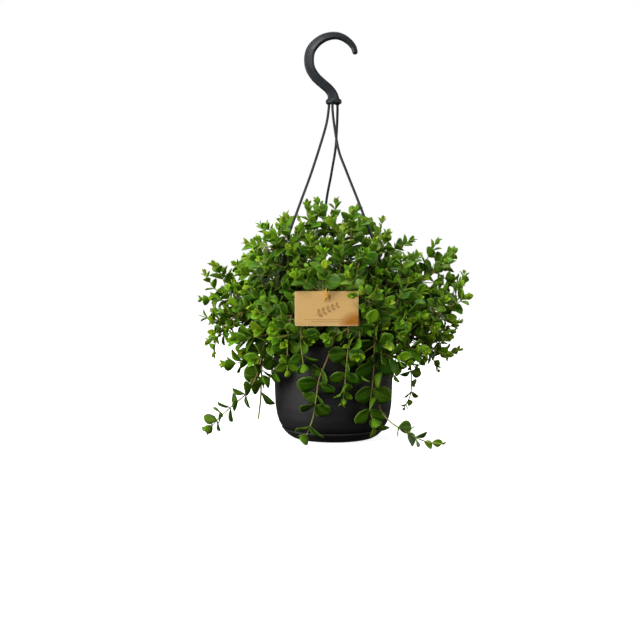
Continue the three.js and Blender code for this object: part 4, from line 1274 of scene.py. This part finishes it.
# A tip's level is 1 at the dome's top and 0 at its widest
TOP_LEVEL = 0.9
LEVELS_SPANNED = 1.5
UPPER_LEVEL = 0.55  # stems that end above this don't sag
LOWER_LEVEL = -0.1  # and those that end below this are held up a little
FIRST_ANGLE = 0.9
ROOTS_FROM_AXIS = 12
ROOTS_SPREAD = 44
ARCH_HEIGHT = 14
ARCH_GAIN = 44  # in height for each level further down
TRIES = 60
GROWN_SEED = 100


def grown_points(i, draw):
    """A stem by rule: its root, two points of its arch and its tip."""
    level = TOP_LEVEL - (LEVELS_SPANNED * (i + 0.5)) / GROWN_STEMS
    angle = GOLDEN_ANGLE * i + FIRST_ANGLE + (draw() - 0.5) * 0.5
    across = DOME_RADIUS * (1 - level * level) ** DOME_TAPER * (0.9 + 0.14 * draw())
    up = DOME_RISE * level if level > 0 else DOME_DROP * level
    lean = DOME_LEAN * level * level if level > 0 else 0
    tip_x, tip_y = polar(across, angle)
    tip = (tip_x - lean, tip_y, DOME_CENTRE_Z + up)
    root_angle = angle + (draw() - 0.5) * 1.1
    outwards = min(1, across / 120) * (0.55 + 0.45 * draw())
    root = polar(ROOTS_FROM_AXIS + ROOTS_SPREAD * outwards, root_angle)
    arch = ARCH_HEIGHT + ARCH_GAIN * max(0, UPPER_LEVEL - level) + 8 * draw()
    over = plus(mixed((*root, SOIL_Z), tip, 0.5), (0, 0, arch))
    sag = 0 if level > UPPER_LEVEL else 7 * draw() - (10 if level < LOWER_LEVEL else 0)
    near = plus(mixed(over, tip, 0.62), (0, 0, -sag))
    return [root, over, near, tip]


def pot_radius(z):
    height = z - BASE_Z
    for (r0, h0), (r1, h1) in zip(POT_OUTSIDE, POT_OUTSIDE[1:]):
        if h0 < height <= h1:
            return r0 + (r1 - r0) * (height - h0) / (h1 - h0)
    return POT_OUTSIDE[0][0] if 0 < height <= POT_OUTSIDE[0][1] else 0


def clear_of_pot(point, margin):
    """True where a point keeps clear of the pot's wall and rim."""
    radius = math.hypot(point[0], point[1])
    if point[2] > RIM_Z + margin:
        return True
    if radius < INNER_MOUTH - margin and point[2] > SOIL_Z - ROOT_DEPTH - 1:
        return True
    return radius > pot_radius(min(point[2], RIM_Z - 2)) + margin and point[2] > BASE_Z + margin


COVERED_CORNER = (12, -334)  # right of and above this, leaves may lie over the card


def near_card(point, margin):
    """True in front of the card, seen from the front, but not over the corner that leaves cover."""
    x = abs(point[0] - CARD_CENTRE[0])
    z = abs(point[2] - CARD_CENTRE[2])
    in_front = point[1] < CARD_CENTRE[1] + margin + 1
    clear_over = point[1] < CARD_CENTRE[1] - margin - 1
    if clear_over and point[0] > COVERED_CORNER[0] and point[2] > COVERED_CORNER[1]:
        return False
    return in_front and x < CARD_WIDTH / 2 + margin and z < CARD_HEIGHT / 2 + margin


def all_free(points, off_pot, off_card):
    return all(clear_of_pot(p, off_pot) and not near_card(p, off_card) for p in points)


def apart(samples, others, distance):
    gaps = np.linalg.norm(samples[:, None] - others[None], axis=2)
    return gaps.min() >= distance


def stem_line(points):
    (x, y), *rest = points
    return Line(smooth_line([(x, y, SOIL_Z - ROOT_DEPTH), (x, y, SOIL_Z + 4), *rest]))


STRAND_SAMPLES = [Line(smooth_line(strand_points(i))).samples() for i in range(len(LUG_ANGLES))]


def grow_stems():
    stems = []
    taken = list(STRAND_SAMPLES)
    for i, placed in enumerate(PLACED):
        line = stem_line(placed["points"])
        taken.append(line.samples())
        facts = {"end": 0, "mature": 0, **placed, "line": line, "seed": i + 1}
        del facts["points"]
        stems.append(facts)
    for i in range(GROWN_STEMS):
        for attempt in range(TRIES):
            seed = GROWN_SEED + i * TRIES + attempt
            draw = draws_from(seed)
            points = grown_points(i, draw)
            if points[-1][1] < FRONT_Y:
                continue
            line = stem_line(points)
            samples = line.samples()
            if not all_free(samples, STEM_RADIUS + 2, 4):
                continue
            if not all(apart(samples, other, STEM_SPACING) for other in taken):
                continue
            taken.append(samples)
            facts = dict(line=line, bare=GROWN_BARE, end=0, mature=0, seed=seed)
            stems.append(dict(facts, vigour=0.85 + 0.25 * draw()))
            break
    return stems


# Leaves in crossed pairs: small and upright at the tip, and larger, further apart and more open
# below it. Each list goes from the youngest pair on, and its last value holds for all older ones.
PAIR_STEPS = [0.6, 4.5, 7, 9.5, 11.5, 12.5, 13.5, 14]
STEM_HABIT = dict(
    lengths=[9, 12, 15.5, 18, 20.5, 21.5, 22], least=0.88, play=0.24, least_wide=0.94,
    play_wide=0.12, to_light=[0.1, 0.1, 0.3], inwards=[0.9, 0.9, 0.5, 0.5, 0.3],
)
LEAF_WIDTH_SHARES = [0.55, 0.66, 0.77, 0.86, 0.91, 0.93, 0.94]
LEAF_OPENINGS = [34, 36, 50, 60, 67, 71, 73]
OPENING_PLAY = 26
ROLL_PLAY = 0.8
LEAF_TWIST = 0.9
QUARTER = math.pi / 2
LEAF_OFF_WALL = 3.5
PAIR_SEED = 5000
LIGHT_FROM_ABOVE = 0.42


def at_most(values, i):
    return values[min(i, len(values) - 1)]


def light_at(point):
    """Where a leaf at a point has its light from: outwards from the plant's middle, and up."""
    out = (point[0], point[1], 0.55 * (point[2] - DOME_CENTRE_Z))
    reach = min(1, size(out) / 90)
    return unit(plus((0, 0, LIGHT_FROM_ABOVE), scaled(unit(out), reach)))


def turned_from_pot(base, reach, length):
    """A leaf that would reach into the pot or below the saucer turns along the wall or up."""
    end = plus(base, scaled(reach, length))
    radius = math.hypot(end[0], end[1])
    least = pot_radius(min(end[2], RIM_Z - 2)) + LEAF_OFF_WALL
    if end[2] < RIM_Z + LEAF_OFF_WALL and math.hypot(base[0], base[1]) > 60 and radius < least:
        end = (end[0] * least / radius, end[1] * least / radius, end[2])
    end = (end[0], end[1], max(end[2], BASE_Z + LEAF_OFF_WALL))
    return unit(minus(end, base))


def grown_leaf(place, angle, age, habit, vigour, draw):
    """A leaf at a place on a stem, at an angle round it. The habit says how such leaves grow."""
    base, heading, side = place
    across = fanned(heading, side, angle)
    opening = math.radians(at_most(LEAF_OPENINGS, age) + (draw() - 0.5) * OPENING_PLAY)
    light = light_at(base)
    length = at_most(habit["lengths"], age) * vigour * (habit["least"] + habit["play"] * draw())
    share = at_most(LEAF_WIDTH_SHARES, age)
    width = length * share * (habit["least_wide"] + habit["play_wide"] * draw())
    reach = plus(scaled(heading, math.cos(opening)), scaled(across, math.sin(opening)))
    reach = unit(plus(reach, scaled(light, at_most(habit["to_light"], age))))
    reach = turned_from_pot(base, reach, length)
    inner = minus(scaled(heading, math.sin(opening)), scaled(across, math.cos(opening)))
    sway = scaled(cross(heading, across), (draw() - 0.5) * LEAF_TWIST)
    normal = square_to(plus(mixed(light, inner, at_most(habit["inwards"], age)), sway), reach)
    return dict(base=base, reach=reach, normal=normal, length=length, width=width, age=age)


def leaf_pairs(line, bare, vigour, end, mature, seed, **_):
    draw = draws_from(seed + PAIR_SEED)
    base_roll = QUARTER * draw()
    pairs = []
    station = line.length - end
    number = 0
    while True:
        age = number + mature
        station -= at_most(PAIR_STEPS, age if number else 0) * (0.9 + 0.2 * draw())
        if station < bare:
            return pairs
        place = line.at(station)
        roll = base_roll + (draw() - 0.5) * ROLL_PLAY
        angles = [roll + (number + 2 * opposite) * QUARTER for opposite in (0, 1)]
        pairs.append([grown_leaf(place, angle, age, STEM_HABIT, vigour, draw) for angle in angles])
        number += 1


BOX_MARGIN = 0.6
box_low = [value / MM + BOX_MARGIN for value in cad_box[0]]
box_high = [value / MM - BOX_MARGIN for value in cad_box[1]]


def in_box(points):
    return np.all(points > box_low) and np.all(points < box_high)



# Side shoots, from the axils of the older leaves and from the bare stretch below them
SHOOT_STEPS = [0.5, 4.5, 7.5, 9.5, 10]
SHOOT_HABIT = dict(
    lengths=[9.5, 14.5, 18.5, 20.5, 21], least=0.85, play=0.3, least_wide=0.92, play_wide=0.14,
    to_light=[0.28], inwards=[0.85, 0.85, 0.45],
)
SHOOT_FROM_ROOT = 22  # no shoot starts nearer to the root
SHOOT_FROM_TIP = 28  # nor nearer to the tip, but for a bushy stem
SHOOT_LOWEST_Z = -392
SHOOT_SPACING = 5.4
SHOOT_LEAST_LEAVES = 3
SHOOT_BARE = 2  # of a shoot, from its base
SHOOT_LENGTH = 14
SHOOT_LENGTH_PLAY = 26
SHOOT_RISE = 0.42  # how far it bends to the light, as a share of its length
SHOOT_SEED = 9000
OVER_CARD = (-1, 0.35, -0.6)  # where a bushy stem's shoots lean


def shoots_of(stem):
    draw = draws_from(stem["seed"] + SHOOT_SEED)
    line = stem["line"]
    shoots = []
    if stem.get("plain"):
        return shoots
    bushy = stem.get("bushy")
    spacing = SHOOT_SPACING / 3 if bushy else SHOOT_SPACING
    station = line.length - (0 if bushy else SHOOT_FROM_TIP)
    turn = 2 * math.pi * draw()
    while station > SHOOT_FROM_ROOT:
        station -= spacing * (0.7 + 0.6 * draw())
        turn += GOLDEN_ANGLE
        length = SHOOT_LENGTH + SHOOT_LENGTH_PLAY * draw()
        base, heading, side = line.at(station)
        in_pot = base[2] < SOIL_Z + 5 and math.hypot(base[0], base[1]) < INNER_MOUTH
        if in_pot or base[2] < SHOOT_LOWEST_Z:
            continue
        start = unit(plus(scaled(heading, 0.5), fanned(heading, side, turn)))
        if bushy:
            start = unit(plus(start, OVER_CARD))
        light = light_at(base)
        points = [base]
        for i in range(1, 5):
            t = i / 4
            place = plus(base, scaled(start, length * t))
            points.append(plus(place, scaled(light, SHOOT_RISE * length * t * t)))
        if all_free(points[1:], 2.5, 3) and in_box(np.array(points)):
            line_of_shoot = Line(smooth_line(points, 4))
            shoots.append(dict(line=line_of_shoot, vigour=stem["vigour"], draw=draw))
    return shoots


def shoot_leaves(shoot):
    draw = shoot["draw"]
    line = shoot["line"]
    station = line.length
    roll = 2 * math.pi * draw()
    leaves = []
    number = 0
    while True:
        station -= at_most(SHOOT_STEPS, number) * (0.9 + 0.2 * draw())
        if station < SHOOT_BARE:
            return leaves
        for opposite in (0, 1):
            angle = roll + (number + 2 * opposite) * QUARTER + (draw() - 0.5) * ROLL_PLAY
            place = line.at(station)
            leaves.append(grown_leaf(place, angle, number, SHOOT_HABIT, shoot["vigour"], draw))
        number += 1


# Leaf blades, of unit length and width, which the plant's leaves are scaled copies of
LEAF_FOLD = 0.3
LEAF_HANG = 0.06
BLADE_HALF_THICKNESS = 0.024
MIDRIB_GROOVE = 0.008
STALK_LENGTH = 0.05
STALK_HALF_WIDTH = 0.055
BLADE_STATIONS = [0.09, 0.24, 0.42, 0.62, 0.82, 0.95]
BLADE_COLUMNS = [-1, -0.5, 0, 0.5, 1]
BLADES = [
    # share of width to length, fullness, shift of the widest place, cup, extra hang, wave
    dict(share=0.45, full=0.85, shift=0.9, cup=1.5, hang=-0.1, wave=0.0),
    dict(share=0.55, full=0.75, shift=1.0, cup=1.3, hang=-0.05, wave=0.0),
    dict(share=0.7, full=0.66, shift=1.1, cup=1.1, hang=0.0, wave=0.01),
    dict(share=0.84, full=0.56, shift=1.15, cup=0.8, hang=0.02, wave=0.015),
    dict(share=0.84, full=0.54, shift=1.2, cup=0.65, hang=0.06, wave=0.02),
    dict(share=0.84, full=0.56, shift=1.05, cup=1.0, hang=-0.03, wave=-0.02),
    dict(share=0.84, full=0.54, shift=1.2, cup=0.45, hang=0.1, wave=-0.012),
    dict(share=0.84, full=0.52, shift=1.15, cup=0.75, hang=0.0, wave=0.03),
]


def blade_half(along, full, shift):
    """Half a blade's width at a share of its length. It starts as a narrow stalk."""
    s = max(0.0, (along - STALK_LENGTH) / (1 - STALK_LENGTH))
    body = 0.5 * max(0.0, math.sin(math.pi * s**shift)) ** full
    return max(STALK_HALF_WIDTH if along < 0.2 else 0.0, body)


def blade_object(i, share, full, shift, cup, hang, wave):
    """A closed blade along +Y with its upper face up."""
    points = [(0, 0, 0)]
    facts = [(0, 0, 1)]  # rim, under, vein

    def middle(along, across):
        lift = share * cup * (0.35 * LEAF_FOLD * abs(across) + 0.62 * across * across)
        ripple = wave * math.sin(9 * along + (2 if across > 0 else 0)) * abs(across) * 2
        return lift + ripple - (LEAF_HANG + hang) * along * along

    rings = []
    for along in BLADE_STATIONS:
        half = blade_half(along, full, shift)
        top = []
        bottom = []
        for column in BLADE_COLUMNS:
            across = half * column
            z = middle(along, across)
            thick = BLADE_HALF_THICKNESS * math.sqrt(1 - column * column)
            groove = MIDRIB_GROOVE if column == 0 else 0
            top.append(len(points))
            points.append((across, along, z + thick - groove))
            rim = max(column**2, max(0.0, (along - 0.7) / 0.3) ** 2)
            facts.append((rim, 0, 1 - abs(column)))
            if abs(column) == 1:
                bottom.append(top[-1])
                continue
            bottom.append(len(points))
            points.append((across, along, z - thick - groove))
            facts.append((rim, 1, 1 - abs(column)))
        rings.append((top, bottom))
    tip = len(points)
    points.append((0, 1, middle(1, 0)))
    facts.append((1, 0, 0.6))
    faces = []
    for (top, bottom), (next_top, next_bottom) in zip(rings, rings[1:]):
        for j in range(len(BLADE_COLUMNS) - 1):
            faces.append((top[j], top[j + 1], next_top[j + 1], next_top[j]))
            faces.append((bottom[j], next_bottom[j], next_bottom[j + 1], bottom[j + 1]))
    first_top, first_bottom = rings[0]
    last_top, last_bottom = rings[-1]
    for j in range(len(BLADE_COLUMNS) - 1):
        faces.append((0, first_top[j + 1], first_top[j]))
        faces.append((0, first_bottom[j], first_bottom[j + 1]))
        faces.append((last_top[j], last_top[j + 1], tip))
        faces.append((last_bottom[j + 1], last_bottom[j], tip))
    blade = mesh_object(f"blade_{i}", [scaled(p, 1 / MM) for p in points], faces)
    for label, values in zip(("rim", "under", "vein"), zip(*facts)):
        add_values(blade, label, values)
    return blade


# Leaves are kept out of each other: a leaf's test spots may not lie close to another leaf, or on
# both sides of it
TEST_SPOTS = [(0.3, 0), (0.55, 0), (0.8, 0), (1, 0)]
TEST_SPOTS += [(a, b) for a in (0.4, 0.62, 0.84) for b in (-0.42, -0.2, 0.2, 0.42)]
SPOT_ALONG, SPOT_ACROSS = np.array(TEST_SPOTS).T
LEAF_CLOSE = 0.55
LEAF_FREE = 0.12  # of its length, at its base, where leaves of one stem may touch
LEAF_MIDDLE = 0.55  # centre and half sizes of the ellipse that stands for a leaf's blade
LEAF_HALF_LENGTH = 0.47
LEAF_HALF_WIDTH = 0.52
TESTED_LEAVES_APART = 22  # middles further apart than this need no test
MOST_LEAVES = 12000


def leaf_facts(leaf, shrink):
    """The leaf's frame and its test spots, at a share of its size."""
    base = np.array(leaf["base"])
    reach = np.array(leaf["reach"])
    normal = np.array(leaf["normal"])
    sideways = np.array(cross(leaf["reach"], leaf["normal"]))
    length = leaf["length"] * shrink
    width = leaf["width"] * shrink
    flat = np.outer(SPOT_ALONG * length, reach) + np.outer(SPOT_ACROSS * width, sideways)
    lift = LEAF_FOLD * np.abs(SPOT_ACROSS) * width - LEAF_HANG * SPOT_ALONG**2 * length
    return base, reach, normal, sideways, length, width, base + flat + np.outer(lift, normal)


class LeafSpace:
    """The leaves that have been placed so far, to test the next one against."""

    def __init__(self):
        self.count = 0
        self.middles = np.zeros((MOST_LEAVES, 3))
        self.frames = np.zeros((MOST_LEAVES, 4, 3))
        self.sizes = np.ones((MOST_LEAVES, 2))
        self.spots = np.zeros((MOST_LEAVES, len(TEST_SPOTS), 3))

    @staticmethod
    def clear(spots, frames, sizes):
        """For each row, True where its spots keep off that row's leaf and lie on one side of it."""
        apart_from = spots - frames[:, None, 0]
        length = sizes[:, :1]
        width = sizes[:, 1:]
        along = np.einsum("nsk,nk->ns", apart_from, frames[:, 1]) / length
        across = np.einsum("nsk,nk->ns", apart_from, frames[:, 3]) / width
        height = np.einsum("nsk,nk->ns", apart_from, frames[:, 2])
        height = height - LEAF_FOLD * np.abs(across) * width + LEAF_HANG * along**2 * length
        off_middle = ((along - LEAF_MIDDLE) / LEAF_HALF_LENGTH) ** 2
        off_middle += (across / LEAF_HALF_WIDTH) ** 2
        inside = (along > LEAF_FREE) & (off_middle < 1)
        above = inside & (height > 0)
        below = inside & (height <= 0)
        close = (inside & (np.abs(height) < LEAF_CLOSE)).any(1)
        return ~(close | (above.any(1) & below.any(1)))

    def takes(self, facts):
        """Adds the leaf and says True, if it passes every leaf near it."""
        base, reach, normal, sideways, length, width, spots = facts
        middle = spots.mean(0)
        apart_squared = ((self.middles[: self.count] - middle) ** 2).sum(1)
        near = np.nonzero(apart_squared < TESTED_LEAVES_APART**2)[0]
        frame = np.array([base, reach, normal, sideways])
        sizes = np.array([length, width])
        if len(near):
            mine = np.broadcast_to(spots, (len(near), *spots.shape))
            if not self.clear(mine, self.frames[near], self.sizes[near]).all():
                return False
            own_frame = np.broadcast_to(frame, (len(near), 4, 3))
            own_sizes = np.broadcast_to(sizes, (len(near), 2))
            if not self.clear(self.spots[near], own_frame, own_sizes).all():
                return False
        self.middles[self.count] = middle
        self.frames[self.count] = frame
        self.sizes[self.count] = sizes
        self.spots[self.count] = spots
        self.count += 1
        return True


def leaf_allowed(spots):
    """True for a leaf inside the model's box and clear of the pot, the card and the strands."""
    if not in_box(spots) or not all_free(spots.tolist(), 1.2, 1.5):
        return False
    return apart(spots, np.vstack(STRAND_SAMPLES), 2.4)


SHRINKS = (1.0, 0.84)  # sizes that a leaf is tried at, one after the other
PAIRED_LEAF_SEED = 20000
SHOOT_LEAF_SEED = 30000


def place_leaves(stems):
    """All leaves of the plant, stem by stem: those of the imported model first, then the pairs
    between them, and last those of the side shoots."""
    space = LeafSpace()
    leaves = [[] for _ in stems]

    def try_leaf(i, leaf, draw):
        for shrink in SHRINKS:
            facts = leaf_facts(leaf, shrink)
            if leaf_allowed(facts[-1]) and space.takes(facts):
                sizes = dict(length=leaf["length"] * shrink, width=leaf["width"] * shrink)
                leaves[i].append(dict(leaf, **sizes, shade=draw(), pick=draw()))
                return

    paired = [leaf_pairs(**stem) for stem in stems]
    for first in (True, False):
        for i, pairs in enumerate(paired):
            draw = draws_from(PAIRED_LEAF_SEED + 2 * i + first)
            for number, pair in enumerate(pairs):
                kept = number > 0 and number % 4 != 3
                if kept == first:
                    for leaf in pair:
                        try_leaf(i, leaf, draw)
    lines = []
    for i, stem in enumerate(stems):
        draw = draws_from(SHOOT_LEAF_SEED + i)
        lines.append([])
        for shoot in shoots_of(stem):
            before = len(leaves[i])
            for leaf in shoot_leaves(shoot):
                try_leaf(i, leaf, draw)
            if len(leaves[i]) - before >= SHOOT_LEAST_LEAVES:
                lines[i].append(shoot["line"])
            else:
                del leaves[i][before:]
    return leaves, lines


STEM_SIDES = 8
STEM_STEP = 3
STEM_TAPER = 1.5
TIP_RADIUS = 0.62
SHOOT_RADII = (0.75, 0.5)
OLDEST_STEM_TONE = 1.25
OLDEST_SHOOT_TONE = 0.45


def leafy_tree():
    """Turns a stem's lines into round stems, and its loose points into leaves."""
    kinds = dict(Blades="Collection", Sides="Int", Stem="Material", Leaf="Material")
    tree = GeometryTree("leafy_stem", **kinds)
    given = tree.given
    parts = tree.put(
        "GeometryNodeSeparateGeometry",
        {"Geometry": given["Geometry"], "Selection": tree.attribute("leaf")},
        domain="POINT",
    )
    stems = tree.painted(tree.rods(parts.outputs["Inverted"]), "Stem")
    blades = {"Collection": given["Blades"], "Separate Children": True, "Reset Children": True}
    blade = tree.put("GeometryNodeCollectionInfo", blades).outputs[0]
    axes = [tree.attribute(label, "FLOAT_VECTOR") for label in ("reach", "facing")]
    axes = {"Primary Axis": axes[0], "Secondary Axis": axes[1]}
    turn = tree.put("FunctionNodeAxesToRotation", axes, primary_axis="Y", secondary_axis="Z")
    span = tree.attribute("leaf_size", "FLOAT_VECTOR")
    picked = dict(Pick_Instance=True, Instance_Index=tree.attribute("blade", "INT"))
    leaves = tree.copied(parts.outputs["Selection"], blade, turn.outputs[0], span, **picked)
    return tree.ends_with(tree.smooth(tree.both(stems, tree.painted(leaves, "Leaf"))))


def blade_number(leaf):
    if leaf["age"] < 2:
        return leaf["age"]
    if leaf["age"] < 4:
        return 2
    return 3 + min(4, int(leaf["pick"] * 5))


def leaf_span(leaf):
    return scaled((leaf["width"], leaf["length"], leaf["length"]), MM)


def leaf_tone_with_painted_shade(leaf):
    """0 for the youngest leaves and 1 for the oldest. Leaves deep inside the plant are pushed
    towards 1 too: painted shade for the shadow inside the foliage.
    """
    x, y, z = leaf["base"]
    outwards = size((x / DOME_RADIUS, y / DOME_RADIUS, (z - DOME_CENTRE_Z) / DOME_RISE))
    # painted shade: the deeper inside the dome a leaf lies, the darker its colour
    depth = max(0, 0.8 - outwards)
    return held(0.15 * leaf["age"] + 0.3 * (leaf["shade"] - 0.5) + 1.2 * depth + 0.04)


def stem_mesh(name, stem, leaves, shoot_lines):
    """The bare lines and points that the leafy tree grows into a stem."""
    points = []
    edges = []
    radii = []
    tones = []

    def add_line(line, thick, thin, oldest):
        count = max(4, round(line.length / STEM_STEP))
        for i in range(count + 1):
            if i:
                edges.append((len(points) - 1, len(points)))
            share = i / count
            points.append(line.at(line.length * share)[0])
            radii.append((thick + (thin - thick) * share**STEM_TAPER) * MM)
            tones.append(oldest * (1 - share))

    thin = STEM_RADIUS if stem["end"] else TIP_RADIUS
    add_line(stem["line"], STEM_RADIUS + 0.15, thin, OLDEST_STEM_TONE)
    for line in shoot_lines:
        add_line(line, *SHOOT_RADII, OLDEST_SHOOT_TONE)
    count = len(points)
    points += [leaf["base"] for leaf in leaves]
    made = mesh_object(name, points, edges=edges)

    def add(label, on_lines, of_leaf, kind="FLOAT"):
        add_values(made, label, on_lines + [of_leaf(leaf) for leaf in leaves], kind)

    add("leaf", [0] * count, lambda leaf: 1)
    add("radius", radii, lambda leaf: 0)
    # for leaves the tone holds painted shade as well as age
    add("tone", [min(1.0, tone) for tone in tones], leaf_tone_with_painted_shade)
    add("shade", [0.5] * count, lambda leaf: leaf["shade"])
    add("blade", [0] * count, blade_number, "INT")
    add("reach", [(0, 1, 0)] * count, lambda leaf: leaf["reach"], "FLOAT_VECTOR")
    add("facing", [(0, 0, 1)] * count, lambda leaf: leaf["normal"], "FLOAT_VECTOR")
    add("leaf_size", [(1, 1, 1)] * count, leaf_span, "FLOAT_VECTOR")
    return made


def make_plant():
    stems = grow_stems()
    leaves, shoot_lines = place_leaves(stems)
    tree = leafy_tree()
    blades = bpy.data.collections.new("blades")
    bpy.context.scene.collection.children.link(blades)
    for i, shape in enumerate(BLADES):
        blade = blade_object(i, **shape)
        bpy.context.scene.collection.objects.unlink(blade)
        blades.objects.link(blade)
    made = []
    for i, stem in enumerate(stems):
        name = f"stem_{i + 1:02d}"
        piece = stem_mesh("leafy_" + name, stem, leaves[i], shoot_lines[i])
        tree.applied_to(piece, Blades=blades, Sides=STEM_SIDES, Stem=STEM, Leaf=LEAF)
        made.append((piece, name))
    for blade in list(blades.objects):
        bpy.data.objects.remove(blade)
    bpy.data.collections.remove(blades)
    for piece, name in made:
        for label in ("leaf", "radius", "blade", "reach", "facing", "leaf_size"):
            found = piece.data.attributes.get(label)
            if found:
                piece.data.attributes.remove(found)
        finished(piece, "foliage", name)


make_camera()
make_floor()
make_light()
make_pot()
make_saucer()
make_soil()
make_hook()
make_strands()
make_card()
make_print()
make_twine()
make_plant()
